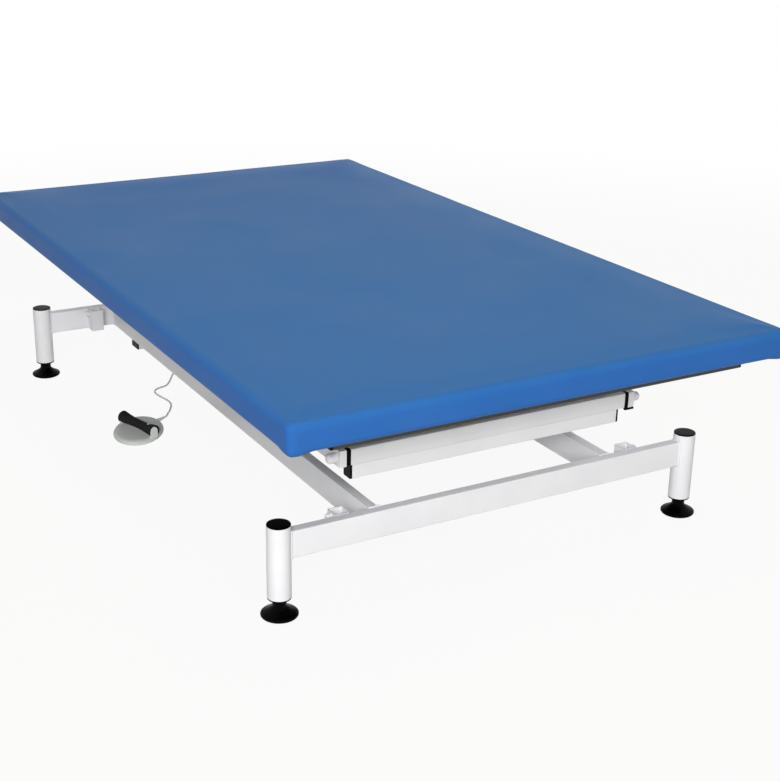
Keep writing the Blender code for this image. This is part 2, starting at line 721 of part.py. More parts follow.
# Top
def build_top_frame(top, looks):
    size = (FRAME_TUBE_W, FRAME_TUBE_H)
    middle_z = FRAME_TOP - FRAME_TUBE_H / 2
    half = FRAME_WIDTH / 2 - FRAME_PLUG_T - GAP
    for end, sy in ENDS:
        middle = (sy * (FRAME_LENGTH - FRAME_TUBE_W) / 2, middle_z)
        bm = bmesh.new()
        add_rect_tube(bm, size, middle, "X", -half, half)
        solid(f"top_cross_tube_{end}", bm, looks["white"], top)
        for side, sx in SIDES:
            plug = flange_plug(size, middle, "X", sx * half, FRAME_PLUG_T, sx)
            solid(f"top_tube_plug_{end}_{side}", plug, looks["black"], top)
    reach = FRAME_LENGTH / 2 - FRAME_TUBE_W - GAP
    rear_face = PIVOT_FRONT_Y + PIVOT_BAR_D / 2 + GAP
    front_post = (rear_face, rear_face + HANGER_D, LOWER_BAR_TOP + GAP)
    rear_post = (PIVOT_REAR_Y - HANGER_D / 2, PIVOT_REAR_Y + HANGER_D / 2, PIVOT_Z + PIVOT_BAR_H / 2 + GAP)
    sink = FRAME_BOTTOM + TUBE_WALL / 2
    for side, sx in SIDES:
        x = sx * FRAME_RAIL_X
        bm = bmesh.new()
        add_rect_tube(bm, size, (x, middle_z), "Y", -reach, reach)
        rail = solid(f"top_rail_{side}", bm, looks["white"], top)
        for end, (start, stop, foot) in (("front", front_post), ("rear", rear_post)):
            bm = bmesh.new()
            post = shifted(rounded_rect(HANGER_W, HANGER_D, TUBE_CORNER_R), x, (start + stop) / 2)
            add_prism(bm, post, "Z", foot, sink)
            join(rail, helper(f"hanger_{end}_{side}", bm, top))


def pad_outline(inset, drawn, corner_steps=5, long_steps=8, short_steps=6):
    """The top's plan outline at this inset; drawn pulls the middle of each side in by the draw-in."""
    half_w, half_l = TOP_WIDTH / 2 - inset, TOP_LENGTH / 2 - inset
    radius = max(PAD_CORNER_R - inset, PAD_BOTTOM_R)
    u, v = half_w - radius, half_l - radius
    quarter = math.pi / 2
    pull = PAD_DRAW_IN if drawn else 0.0
    turns = (
        ((u, v), (-1, 0), 2 * u, short_steps, (0, -1)),
        ((-u, v), (0, -1), 2 * v, long_steps, (1, 0)),
        ((-u, -v), (1, 0), 2 * u, short_steps, (0, 1)),
        ((u, -v), (0, 1), 2 * v, long_steps, (-1, 0)),
    )
    loop = []
    for i, (centre, run, length, steps, inward) in enumerate(turns):
        corner = arc(*centre, radius, i * quarter, (i + 1) * quarter, corner_steps)
        loop += corner
        for k in range(1, steps):
            t = k / steps
            sag = pull * (1 - (2 * t - 1) ** 2)
            loop.append((
                corner[-1][0] + run[0] * length * t + inward[0] * sag,
                corner[-1][1] + run[1] * length * t + inward[1] * sag,
            ))
    return loop


def build_board(top, looks):
    bm = bmesh.new()
    add_prism(bm, pad_outline(BOARD_MARGIN, drawn=False), "Z", PAD_BOTTOM, PAD_BOTTOM + BOARD_THICK)
    solid("top_board", bm, looks["ply"], top)


def build_cushion(top, looks):
    """The padded cover: a skirt round the board, rounded edges, sides drawn in and a low crown."""
    bm = bmesh.new()
    quarter = math.pi / 2
    pocket = pad_outline(BOARD_MARGIN - GAP, drawn=False)
    ceiling = PAD_BOTTOM + BOARD_THICK + GAP
    levels = [(pocket, ceiling), (pocket, PAD_BOTTOM)]
    for i in range(4):
        turn = quarter * i / 3
        inset = PAD_BOTTOM_R * (1 - math.sin(turn))
        levels.append((pad_outline(inset, True), PAD_BOTTOM + PAD_BOTTOM_R * (1 - math.cos(turn))))
    for i in range(6):
        turn = quarter * i / 5
        inset = PAD_TOP_R * (1 - math.cos(turn))
        levels.append((pad_outline(inset, True), TOP_HEIGHT - PAD_TOP_R * (1 - math.sin(turn))))
    rim = pad_outline(PAD_TOP_R, True)
    for k in CROWN_RINGS:
        levels.append(([(u * k, v * k) for u, v in rim], TOP_HEIGHT + PAD_CROWN * (1 - k ** 2)))
    rings = [[bm.verts.new((u, v, z)) for u, v in loop] for loop, z in levels]
    bridge(bm, rings)
    bm.faces.new(rings[0])
    crest = bm.verts.new((0.0, 0.0, TOP_HEIGHT + PAD_CROWN))
    last = rings[-1]
    for i, vert in enumerate(last):
        bm.faces.new((vert, last[(i + 1) % len(last)], crest))
    solid("top_cushion", bm, looks["vinyl"], top)


# Actuator, modelled along its own -Y axis from its rear pivot
def build_actuator(owner, looks):
    case_end = CASE_START + CASE_LENGTH
    tube_end = case_end + OUTER_TUBE_LENGTH
    overlap = MOTOR_CAP_T / 2

    bm = bmesh.new()
    case = capsule(0.0, 0.0, CASE_R, MOTOR_X, 0.0, MOTOR_R + overlap, 2 * ARC_STEPS)
    add_prism(bm, case, "Y", -CASE_START, -case_end)
    housing = solid("actuator_housing", bm, looks["grey"], owner, local=True)
    bm = bmesh.new()
    add_rod(bm, "X", (0.0, 0.0), EAR_R, -REAR_EYE_T / 2, REAR_EYE_T / 2)
    eye = helper("rear_eye", bm, owner, local=True)
    bm = bmesh.new()
    neck = rounded_rect(REAR_EYE_T, REAR_NECK_H, TUBE_CORNER_R)
    add_prism(bm, neck, "Y", 0.0, -CASE_START - overlap)
    root = helper("rear_eye_neck", bm, owner, local=True)
    bm = bmesh.new()
    pin_reach = REAR_EYE_T / 2 + RUN + EAR_T + GAP
    add_rod(bm, "X", (0.0, 0.0), REAR_PIN_D / 2, -pin_reach, pin_reach)
    pin = helper("rear_pin", bm, owner, local=True)
    bm = bmesh.new()
    motor_end = case_end + MOTOR_LENGTH
    motor = (
        (-case_end + overlap, 0.0), (-case_end + overlap, MOTOR_R), (-motor_end, MOTOR_R),
        (-motor_end - MOTOR_CAP_T, MOTOR_R - MOTOR_CAP_T), (-motor_end - MOTOR_CAP_T, 0.0),
    )
    add_lathe(bm, motor, "Y", (MOTOR_X, 0.0), LEG_SIDES)
    drum = helper("motor_drum", bm, owner, local=True)
    bm = bmesh.new()
    add_rod(bm, "Y", (0.0, 0.0), OUTER_TUBE_D / 2, -case_end + overlap, -tube_end, LEG_SIDES)
    tube = helper("outer_tube", bm, owner, local=True)
    bm = bmesh.new()
    rod_start = tube_end - ROD_IN_TUBE
    add_rod(bm, "Y", (0.0, 0.0), ROD_D / 2 + RUN, -rod_start + ROD_D, -tube_end - ROD_D)
    bore = helper("rod_bore", bm, owner, local=True)
    join(housing, eye, root, pin, drum, tube)
    cut(housing, bore)

    bm = bmesh.new()
    span = ACTUATOR_SPAN
    collar = span - ROD_EYE_R - ROD_COLLAR_T / 2
    profile = (
        (-rod_start, 0.0), (-rod_start, ROD_D / 2), (-collar, ROD_D / 2), (-collar, ROD_COLLAR_D / 2),
        (-collar - ROD_COLLAR_T, ROD_COLLAR_D / 2), (-collar - ROD_COLLAR_T, 0.0),
    )
    add_lathe(bm, profile, "Y", (0.0, 0.0), PIN_SIDES)
    rod = solid("actuator_rod", bm, looks["steel"], owner, local=True)
    bm = bmesh.new()
    add_rod(bm, "X", (-span, 0.0), ROD_EYE_R, -ROD_EYE_T / 2, ROD_EYE_T / 2)
    rod_eye = helper("rod_eye", bm, owner, local=True)
    bm = bmesh.new()
    plates = CRANK_GAP / 2 + CRANK_T + RUN
    half_pin = ((0.0, CRANK_PIN_D / 2), (plates, CRANK_PIN_D / 2), (plates, PIN_HEAD_D / 2))
    half_pin += ((plates + PIN_HEAD_T, PIN_HEAD_D / 2), (plates + PIN_HEAD_T, 0.0))
    whole = [(-w, r) for w, r in reversed(half_pin[1:])] + list(half_pin[1:])
    add_lathe(bm, whole, "X", (-span, 0.0), PIN_SIDES)
    join(rod, rod_eye, helper("crank_pin", bm, owner, local=True))


# Foot switch: the plate along its own Y axis, and the rocker with its cheeks along another
def cheek_loop(radius, room, bottom):
    reach = radius + room
    return [(-reach, bottom), (reach, bottom)] + arc(0.0, ROCKER_Z, reach, 0.0, math.pi, ARC_STEPS)


def build_switch_base(plate_group, rocker_group, looks):
    bm = bmesh.new()
    rings = []
    for scale, height in PLATE_LEVELS:
        turns = (math.tau * i / PLATE_SIDES for i in range(PLATE_SIDES))
        rings.append([
            bm.verts.new((
                scale * PLATE_WIDTH / 2 * math.cos(a), scale * PLATE_LENGTH / 2 * math.sin(a),
                height * PLATE_THICK,
            ))
            for a in turns
        ])
    bridge(bm, rings)
    bm.faces.new(rings[0])
    bm.faces.new(rings[-1])
    plate = solid("foot_switch_base", bm, looks["grey"], plate_group, local=True)
    outer = ROCKER_LENGTH / 2 - GAP
    for end, sy in ENDS:
        bm = bmesh.new()
        add_prism(bm, cheek_loop(CHEEK_R, 0.0, PLATE_THICK / 2), "Y", sy * outer, sy * (outer - CHEEK_T))
        cheek = helper(f"rocker_cheek_{end}", bm, rocker_group, local=True)
        bm = bmesh.new()
        root = outer - CHEEK_T / 2
        tip = outer - CHEEK_T - ROCKER_PIN_LENGTH
        add_rod(bm, "Y", (0.0, ROCKER_Z), ROCKER_PIN_D / 2, sy * root, sy * tip, SMALL_PIN_SIDES)
        join(plate, cheek, helper(f"rocker_pin_{end}", bm, rocker_group, local=True))
    bm = bmesh.new()
    relief = (
        (RELIEF_ROOT, 0.0), (RELIEF_ROOT, RELIEF_D / 2), (RELIEF_TAPER, RELIEF_D / 2),
        (RELIEF_MOUTH, RELIEF_MOUTH_D / 2), (RELIEF_MOUTH, 0.0),
    )
    add_lathe(bm, relief, "X", (0.0, RELIEF_D / 2), PIN_SIDES)
    turn = Matrix.Rotation(RELIEF_TURN - PLATE_TURN, 3, "Z")
    bmesh.ops.rotate(bm, verts=bm.verts, cent=(0, 0, 0), matrix=turn)
    join(plate, helper("lead_relief", bm, plate_group, local=True))


def build_rocker(owner, looks):
    """A saddle-shaped roll with a flat underside, hollowed at both ends round the cheeks of the base."""
    bm = bmesh.new()
    half = ROCKER_LENGTH / 2
    profile = [(-half, 0.0)]
    for i in range(ROCKER_STEPS + 1):
        t = 2 * i / ROCKER_STEPS - 1
        profile.append((half * t, ROCKER_WAIST_R + (ROCKER_END_R - ROCKER_WAIST_R) * t ** 2))
    profile.append((half, 0.0))
    add_lathe(bm, profile, "Y", (0.0, 0.0), ROCKER_SIDES)
    bmesh.ops.translate(bm, verts=bm.verts, vec=(0.0, 0.0, ROCKER_Z))
    rocker = solid("foot_switch_rocker", bm, looks["black"], owner, origin=(0.0, 0.0, ROCKER_Z), local=True)
    bm = bmesh.new()
    floor = ROCKER_Z - ROCKER_CUT
    block = rounded_rect(4 * ROCKER_END_R, 2 * ROCKER_END_R, TUBE_CORNER_R)
    add_prism(bm, shifted(block, 0.0, floor - ROCKER_END_R), "Y", -ROCKER_LENGTH, ROCKER_LENGTH)
    cut(rocker, helper("rocker_underside", bm, owner, local=True))
    depth = half - GAP - CHEEK_T - GAP
    for end, sy in ENDS:
        bm = bmesh.new()
        add_prism(bm, cheek_loop(CHEEK_R, CHEEK_ROOM, 0.0), "Y", sy * depth, sy * ROCKER_LENGTH)
        recess = helper(f"rocker_recess_{end}", bm, owner, local=True)
        bm = bmesh.new()
        end_hole = depth - ROCKER_PIN_LENGTH - 2 * GAP
        add_rod(bm, "Y", (0.0, ROCKER_Z), ROCKER_PIN_D / 2 + RUN, sy * end_hole, sy * half, SMALL_PIN_SIDES)
        cut(rocker, recess, helper(f"rocker_hole_{end}", bm, owner, local=True))


# Foot switch lead
def lead_route():
    """The route's own points: out of the relief, along the floor and up to the gland of the control box."""
    out = Vector((math.cos(RELIEF_TURN), math.sin(RELIEF_TURN), 0.0))
    mouth = PLATE_AT + out * (RELIEF_MOUTH + 2 * GAP)
    floor = LEAD_D / 2 + GAP
    mouth.z = RELIEF_D / 2
    gland = GLAND_AT.copy()
    gland.z = ANCHOR_TOP + GAP - GLAND_T - GAP
    points = [mouth, mouth + out * 2 * LEAD_D]
    points += [Vector((x, y, floor)) for x, y in LEAD_ROUTE]
    points += [
        Vector((GLAND_AT.x, GLAND_AT.y, floor + LEAD_RISE)),
        Vector((GLAND_AT.x, GLAND_AT.y, gland.z - 2 * LEAD_D)),
        gland,
    ]
    return points


def smooth_curve(points, samples):
    """Centripetal spline through the points."""
    padded = [2 * points[0] - points[1]] + points + [2 * points[-1] - points[-2]]
    knots = [0.0]
    for a, b in zip(padded, padded[1:]):
        knots.append(knots[-1] + (b - a).length ** 0.5)
    first, last = knots[1], knots[-2]
    made = []
    span = 1
    for i in range(samples + 1):
        t = first + (last - first) * i / samples
        while span < len(padded) - 3 and t > knots[span + 1]:
            span += 1
        p, k = padded[span - 1:span + 3], knots[span - 1:span + 3]
        a = [p[j].lerp(p[j + 1], (t - k[j]) / (k[j + 1] - k[j])) for j in range(3)]
        b = [a[j].lerp(a[j + 1], (t - k[j]) / (k[j + 2] - k[j])) for j in range(2)]
        made.append(b[0].lerp(b[1], (t - k[1]) / (k[2] - k[1])))
    return made


def even_points(path, count):
    lengths = [0.0]
    for a, b in zip(path, path[1:]):
        lengths.append(lengths[-1] + (b - a).length)
    picked = []
    j = 0
    for i in range(count):
        goal = lengths[-1] * i / (count - 1)
        while j < len(path) - 2 and lengths[j + 1] < goal:
            j += 1
        t = (goal - lengths[j]) / (lengths[j + 1] - lengths[j])
        picked.append(path[j].lerp(path[j + 1], t))
    return picked


def build_lead(base, looks):
    points = even_points(smooth_curve(lead_route(), LEAD_SAMPLES), LEAD_POINTS)
    for place in points:
        place.z = max(place.z, LEAD_D / 2 + GAP)
    curve = bpy.data.curves.new("foot_switch_cable", "CURVE")
    curve.dimensions = "3D"
    curve.bevel_depth = LEAD_D / 2
    curve.bevel_resolution = 2
    curve.use_fill_caps = True
    line = curve.splines.new("POLY")
    line.points.add(len(points) - 1)
    for point, place in zip(line.points, points):
        point.co = (*place, 1.0)
    curve.materials.append(looks["lead"])
    made = bpy.data.objects.new("foot_switch_cable", curve)
    bpy.context.collection.objects.link(made)
    made.parent = base


def main():
    clear_scene()
    looks = {
        "white": material("white powder coat", "#ECECEF", 0.45),
        "black": material("black plastic", "#0C0C0D", 0.5),
        "grey": material("grey plastic", "#A8ACA8", 0.5),
        "steel": material("ground steel", "#B9BBBE", 0.25, 1.0),
        "ply": material("plywood", "#B99A6B", 0.7),
        "vinyl": material("blue vinyl", "#3F6FB5", 0.5),
        "lead": material("grey lead", "#C8CCC8", 0.5),
    }
    base = group("base")
    front = group("front_lift", (0.0, LOW_FRONT_Y, PIVOT_Z))
    rear = group("rear_lift", (0.0, LOW_REAR_Y, PIVOT_Z))
    top = group("top", (0.0, PIVOT_FRONT_Y, PIVOT_Z))
    actuator = group("actuator", ACTUATOR_PIVOT, (-ACTUATOR_TILT, 0.0, 0.0))
    plate = group("foot_switch", PLATE_AT, (0.0, 0.0, PLATE_TURN))
    rocker = group("rocker", ROCKER_AT, (0.0, 0.0, ROCKER_TURN))

    for name, sx, sy in CORNERS:
        build_leg(name, sx, sy, base, looks)
        build_socket(name, sx, sy, base, looks)
    for end, sy in ENDS:
        build_crossbar(end, sy, base, looks)
    for side, sx in SIDES:
        build_rail(side, sx, base, looks)
    build_anchor(base, looks)
    build_control_box(base, looks)

    arm = build_arm("front_lift_arm", LOW_FRONT_Y, front, looks)
    build_crank(arm, front)
    bore_arm(arm, LOW_FRONT_Y, front)
    bore_arm(build_arm("rear_lift_arm", LOW_REAR_Y, rear, looks), LOW_REAR_Y, rear)
    build_pivot("front", PIVOT_FRONT_Y, top, looks)
    build_pivot("rear", PIVOT_REAR_Y, top, looks)
    build_lower_bar(top, looks)
    build_top_frame(top, looks)
    build_board(top, looks)
    build_cushion(top, looks)
    build_actuator(actuator, looks)
    build_switch_base(plate, rocker, looks)
    build_rocker(rocker, looks)
    build_lead(base, looks)


main()
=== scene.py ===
"""Electric Bobath table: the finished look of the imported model, as an add-on.

There is one operator for each group of pieces. Metres, +Z up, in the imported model's frame: the
floor is Z = 0 and the front end of the table faces -Y.
"""

import json
import math

import bmesh
import bpy
from mathutils import Matrix, Vector, noise

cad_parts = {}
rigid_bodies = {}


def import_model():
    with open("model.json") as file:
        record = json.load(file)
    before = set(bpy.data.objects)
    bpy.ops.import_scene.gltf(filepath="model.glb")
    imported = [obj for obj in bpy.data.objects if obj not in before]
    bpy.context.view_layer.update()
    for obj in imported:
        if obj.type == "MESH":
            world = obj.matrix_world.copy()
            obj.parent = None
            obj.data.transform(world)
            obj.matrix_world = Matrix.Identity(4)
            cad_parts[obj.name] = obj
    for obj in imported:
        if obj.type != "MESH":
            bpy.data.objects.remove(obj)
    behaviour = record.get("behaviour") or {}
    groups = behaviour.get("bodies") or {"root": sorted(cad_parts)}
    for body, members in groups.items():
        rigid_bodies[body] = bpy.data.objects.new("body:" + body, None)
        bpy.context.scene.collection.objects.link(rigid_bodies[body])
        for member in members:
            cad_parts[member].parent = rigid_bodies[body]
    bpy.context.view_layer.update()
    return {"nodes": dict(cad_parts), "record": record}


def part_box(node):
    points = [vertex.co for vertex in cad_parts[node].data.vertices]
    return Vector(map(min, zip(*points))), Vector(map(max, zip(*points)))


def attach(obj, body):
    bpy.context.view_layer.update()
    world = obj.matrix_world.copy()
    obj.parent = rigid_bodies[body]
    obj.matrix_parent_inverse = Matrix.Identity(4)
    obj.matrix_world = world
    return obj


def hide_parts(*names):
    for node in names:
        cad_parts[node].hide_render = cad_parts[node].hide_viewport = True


bl_info = {
    "name": "Bobath table",
    "version": (1, 0, 0),
    "blender": (4, 5, 0),
    "location": "View3D > Sidebar > Table",
    "description": "Dresses the frame of an electric treatment table: pad, painted steel, "
                   "plastics, foot switch",
    "category": "Object",
}

for leftover in list(bpy.data.objects):
    bpy.data.objects.remove(leftover, do_unlink=True)
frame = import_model()
RECORD = frame["record"]
SLOT_OF = {part["node"]: part["material_slot"] for part in RECORD["subparts"]}
BODY_OF = {node: body for body, nodes in RECORD["behaviour"]["bodies"].items() for node in nodes}
JOINTS = {joint["name"]: joint for joint in RECORD["behaviour"]["joints"]}

# Names of the table's corners, sides and ends, as the nodes have them
SIGNS = (-1, 1)
SIDES = ("left", "right")
ENDS = ("front", "rear")
CORNERS = tuple(
    (f"{end}_{side}", sx, sy) for end, sy in zip(ENDS, SIGNS) for side, sx in zip(SIDES, SIGNS)
)
UP, DOWN = (0.0, 0.0, 1.0), (0.0, 0.0, -1.0)

# Clearances, mesh tolerances and steps of round forms
GAP = 0.0003
MERGE = 0.00002
FLAT_ANGLE = math.radians(0.4)
BEVEL_ANGLE = math.radians(36)
SHARP_ANGLE = math.radians(40)
TURNED_SIDES = 64
RING_SIDES = 48
SMALL_SIDES = 40
SCREW_SIDES = 24
BEAD_SIDES = 8
EASE_STEPS = 4

# Finish and material slot of the pieces
VINYL = ("upholstery_vinyl", "blue_vinyl")
PAINT = ("white_powder_coat", "white_steel")
# White steel under the pad in dark grey: painted shade for the pad's shadow
PAINTED_SHADE = ("grey_primer", "white_steel")
BLACK = ("black_polyethylene", "black_plastic")
RUBBER = ("black_rubber", "black_plastic")
# Black dust cloth, partly painted shade for the shade under the top
CLOTH = ("dust_cloth", "black_plastic")
GREY = ("grey_abs", "grey_plastic")
SHEATH = ("pale_pvc_sheath", "grey_lead")
ZINC = ("zinc_plate", "ground_steel")
ROD_STEEL = ("ground_rod_steel", "ground_steel")
PLYWOOD = ("birch_plywood", "plywood")
LOOK_OF_SLOT = {look[1]: look for look in (PAINT, BLACK, GREY, ROD_STEEL, PLYWOOD)}


# Colours and nodes
def linear(code):
    """Linear red, green and blue of an sRGB hex colour."""
    channels = (int(code[i:i + 2], 16) / 255 for i in (1, 3, 5))
    return tuple(c / 12.92 if c <= 0.04045 else ((c + 0.055) / 1.055) ** 2.4 for c in channels)


def add(tree, kind, links=(), values=(), **settings):
    """One node, with its settings, its unlinked values and the links into it."""
    node = tree.nodes.new(kind)
    for key, value in settings.items():
        setattr(node, key, value)
    for key, value in dict(values).items():
        node.inputs[key].default_value = value
    for key, source in dict(links).items():
        tree.links.new(source, node.inputs[key])
    return node


def calc(tree, operation, links, values=()):
    return add(tree, "ShaderNodeMath", links, values, operation=operation).outputs[0]


def skin_of(name, colour, roughness, sockets):
    """A new material with its even values on the shader's own sockets."""
    made = bpy.data.materials.new(name)
    made.use_nodes = True
    shader = made.node_tree.nodes["Principled BSDF"]
    made.diffuse_color = (*linear(colour), 1.0)
    even = {"Base Color": (*linear(colour), 1.0), "Roughness": roughness, **sockets}
    for key, value in even.items():
        shader.inputs[key].default_value = value
    place = add(made.node_tree, "ShaderNodeTexCoord").outputs["Object"]
    return made, made.node_tree, shader, place


def cloudy(tree, place, size_mm, **values):
    """Noise of a given size over the object."""
    values["Scale"] = 1000 / size_mm
    return add(tree, "ShaderNodeTexNoise", {"Vector": place}, values).outputs["Fac"]


def paint_range(tree, shader, share, tones, places):
    """Base colour that goes from one tone to the next as share rises."""
    ramp = add(tree, "ShaderNodeValToRGB", {"Fac": share})
    stops = ramp.color_ramp.elements
    while len(stops) < len(tones):
        stops.new(1.0)
    for stop, tone, place in zip(stops, tones, places):
        stop.position = place
        stop.color = (*linear(tone), 1.0)
    tree.links.new(ramp.outputs["Color"], shader.inputs["Base Color"])


def gloss_range(tree, shader, share, gloss):
    """Roughness that goes from one value to the other as share rises."""
    span = {"From Min": 0.3, "From Max": 0.7, "To Min": gloss[0], "To Max": gloss[1]}
    rough = add(tree, "ShaderNodeMapRange", {"Value": share}, span)
    tree.links.new(rough.outputs["Result"], shader.inputs["Roughness"])


def emboss(tree, shader, height, depth_mm, strength=1.0):
    values = {"Distance": depth_mm / 1000, "Strength": strength}
    relief = add(tree, "ShaderNodeBump", {"Height": height}, values)
    tree.links.new(relief.outputs["Normal"], shader.inputs["Normal"])


def grained(name, tones, cloud_mm, grain_mm, depth_mm, gloss, sockets):
    """A painted or moulded skin: slowly drifting tone and gloss, and a fine grain in relief."""
    made, tree, shader, place = skin_of(name, tones[0], gloss[0], sockets)
    cloud = cloudy(tree, place, cloud_mm, Detail=3.0)
    paint_range(tree, shader, cloud, tones, (0.36, 0.64))
    emboss(tree, shader, cloudy(tree, place, grain_mm, Detail=2.0), depth_mm)
    gloss_range(tree, shader, cloud, gloss)
    return made


def streaked(name, colour, roughness, sockets, stretch, grain, tones, places, depth_mm):
    """A skin with a grain that runs one way, in tone and in relief."""
    made, tree, shader, place = skin_of(name, colour, roughness, sockets)
    line = add(tree, "ShaderNodeMapping", {"Vector": place}, {"Scale": stretch}).outputs["Vector"]
    lines = cloudy(tree, line, **grain)
    paint_range(tree, shader, lines, tones, places)
    emboss(tree, shader, lines, depth_mm)
    return made


def embossed(name, colour, roughness, sockets, tones, places, cloud_mm, cell_mm, depth_mm, gloss):
    """A skin with a leather grain of cells, over slowly drifting tone and gloss."""
    made, tree, shader, place = skin_of(name, colour, roughness, sockets)
    cloud = cloudy(tree, place, cloud_mm, Detail=4.0, Roughness=0.55)
    paint_range(tree, shader, cloud, tones, places)
    cells = add(
        tree, "ShaderNodeTexVoronoi", {"Vector": place},
        {"Scale": 1000 / cell_mm, "Randomness": 1.0}, feature="DISTANCE_TO_EDGE",
    )
    pores = add(
        tree, "ShaderNodeMapRange", {"Value": cells.outputs["Distance"]}, {"From Max": 0.12},
        interpolation_type="SMOOTHSTEP",
    )
    emboss(tree, shader, pores.outputs["Result"], depth_mm, 0.6)
    gloss_range(tree, shader, cloud, gloss)
    return made


# Each finish: its function, and that function's values after the name
FINISHES = {
    # PVC upholstery vinyl, calendered and embossed: matte leather grain of about 1.5 mm, drawn at
    # 3 mm so that it shows, over tones that drift a little where the foam and the coat vary
    "upholstery_vinyl": (
        embossed, "#2F66B0", 0.5, {"IOR": 1.5, "Specular IOR Level": 0.1},
        ("#2C64AE", "#2F66B0", "#3268B2"), (0.34, 0.5, 0.66), 260, 3.0, 0.06, (0.44, 0.54),
    ),
    # Powder coat, baked on steel: even satin white with the slight orange peel of about 2 mm that
    # it dries to
    "white_powder_coat": (
        grained, ("#E9E9ED", "#EFEFF2"), 160, 2.2, 0.01, (0.30, 0.38), {"IOR": 1.52},
    ),
    # Painted shade: dull dark grey with faint clouds, on the white steel of the frame under the
    # pad, for the shade that the pad casts on it
    "grey_primer": (
        grained, ("#3E403C", "#474944"), 120, 1.6, 0.03, (0.55, 0.68),
        {"IOR": 1.5, "Specular IOR Level": 0.25},
    ),
    # Polyethylene, injection moulded: near black, with a fine eroded skin and soft highlights
    "black_polyethylene": (
        grained, ("#020203", "#040404"), 30, 0.8, 0.02, (0.30, 0.38),
        {"IOR": 1.5, "Specular IOR Level": 0.04},
    ),
    # Thermoplastic rubber, moulded: dark warm grey that hardly shines
    "black_rubber": (
        grained, ("#121412", "#181A18"), 25, 0.9, 0.05, (0.55, 0.68),
        {"IOR": 1.5, "Specular IOR Level": 0.1},
    ),
    # ABS, injection moulded: light neutral grey with a fine sparked texture
    "grey_abs": (grained, ("#CED1CD", "#D5D8D4"), 60, 0.9, 0.04, (0.42, 0.52), {"IOR": 1.53}),
    # PVC lead sheath, extruded: smooth pale grey
    "pale_pvc_sheath": (
        grained, ("#EAECEA", "#F0F1F0"), 40, 3.0, 0.02, (0.40, 0.48), {"IOR": 1.53},
    ),
    # Spunbonded polypropylene cloth: black, open and dull; its black is partly painted shade, for
    # the shade under the top
    "dust_cloth": (grained, ("#0B0B0C", "#131314"), 12, 1.5, 0.1, (0.8, 0.9), {"IOR": 1.49}),
    # Zinc-plated steel: bright, a little blue, with a fine cloudy crystal
    "zinc_plate": (grained, ("#A9ACB2", "#C3C5C6"), 6, 1.0, 0.01, (0.24, 0.36), {"Metallic": 1.0}),
    # Ground steel: fine rings left by the grinding wheel round the rod, drawn at 0.8 mm so that
    # they show
    "ground_rod_steel": (
        streaked, "#B9BBBE", 0.22, {"Metallic": 1.0}, (0.02, 1.0, 0.02),
        {"size_mm": 0.8, "Detail": 2.0}, ("#A6A8AC", "#C6C8CA"), (0.35, 0.65), 0.008,
    ),
    # Birch plywood, sanded: pale grain that runs along the table, with darker growth lines
    "birch_plywood": (
        streaked, "#C7A878", 0.62, {"IOR": 1.5}, (1.0, 0.05, 1.0),
        {"size_mm": 12, "Detail": 6.0, "Roughness": 0.62, "Distortion": 0.6},
        ("#A98452", "#C4A473", "#D6BC90"), (0.3, 0.5, 0.68), 0.15,
    ),
}


def finish(look):
    """The material of a look, made when it is first asked for."""
    name = look[0]
    make, *values = FINISHES[name]
    return bpy.data.materials.get(name) or make(name, *values)


# Outlines and meshes
def placed(axis, u, v, w):
    return {"X": (w, u, v), "Y": (u, w, v), "Z": (u, v, w)}[axis]


def turns(count):
    return [math.tau * i / count for i in range(count)]


def quarter(steps):
    return [math.pi / 2 * i / steps for i in range(steps + 1)]


def arc(cu, cv, radius, start, end, steps):
    angles = (start + (end - start) * i / steps for i in range(steps + 1))
    return [(cu + radius * math.cos(a), cv + radius * math.sin(a)) for a in angles]


def rounded(width, height, radius, steps=EASE_STEPS):
    u, v = width / 2 - radius, height / 2 - radius
    loop = []
    for i, (su, sv) in enumerate(((1, 1), (-1, 1), (-1, -1), (1, -1))):
        loop += arc(su * u, sv * v, radius, i * math.pi / 2, (i + 1) * math.pi / 2, steps)
    return loop


def capsule(r1, u2, r2, steps):
    """The outline round a circle at the origin, another at u2 and the lines that touch both."""
    lean = math.acos((r1 - r2) / u2)
    return arc(0.0, 0.0, r1, lean, math.tau - lean, steps) + arc(u2, 0.0, r2, -lean, lean, steps)


def arch(radius, bottom):
    """A cheek's outline: straight sides and a round head."""
    return [(-radius, bottom), (radius, bottom)] + arc(0.0, 0.0, radius, 0.0, math.pi, 24)


def eased(profile, radius):
    """A profile with its inner corners rounded, no further than half of the shorter side."""
    points = [Vector(p) for p in profile]
    made = [tuple(points[0])]
    for a, b, c in zip(points, points[1:], points[2:]):
        reach = min(radius, (a - b).length / 2, (c - b).length / 2)
        first = b + (a - b).normalized() * reach
        last = b + (c - b).normalized() * reach
        for i in range(EASE_STEPS + 1):
            t = i / EASE_STEPS
            made.append(tuple(first.lerp(b, t).lerp(b.lerp(last, t), t)))
    made.append(tuple(points[-1]))
    return made[:1] + [p for before, p in zip(made, made[1:]) if math.dist(before, p) > MERGE]


def stepped(start, end, radius, ease):
    """The profile of a plain pin from end to end."""
    return eased(((start, 0.0), (start, radius), (end, radius), (end, 0.0)), ease)


def dome(start, rise, radius, steps):
    """A round head's profile, from its rim to its tip."""
    made = [(start + rise * math.sin(a), radius * math.cos(a)) for a in quarter(steps)]
    return made[:-1] + [(made[-1][0], 0.0)]


def bridge(bm, rings, closed=False):
    pairs = list(zip(rings, rings[1:]))
    if closed:
        pairs.append((rings[-1], rings[0]))
    for low, high in pairs:
        count = max(len(low), len(high))
        for i in range(count):
            j = (i + 1) % count
            near = low[i % len(low)], low[j % len(low)]
            far = high[j % len(high)], high[i % len(high)]
            bm.faces.new(list(dict.fromkeys(near + far)))


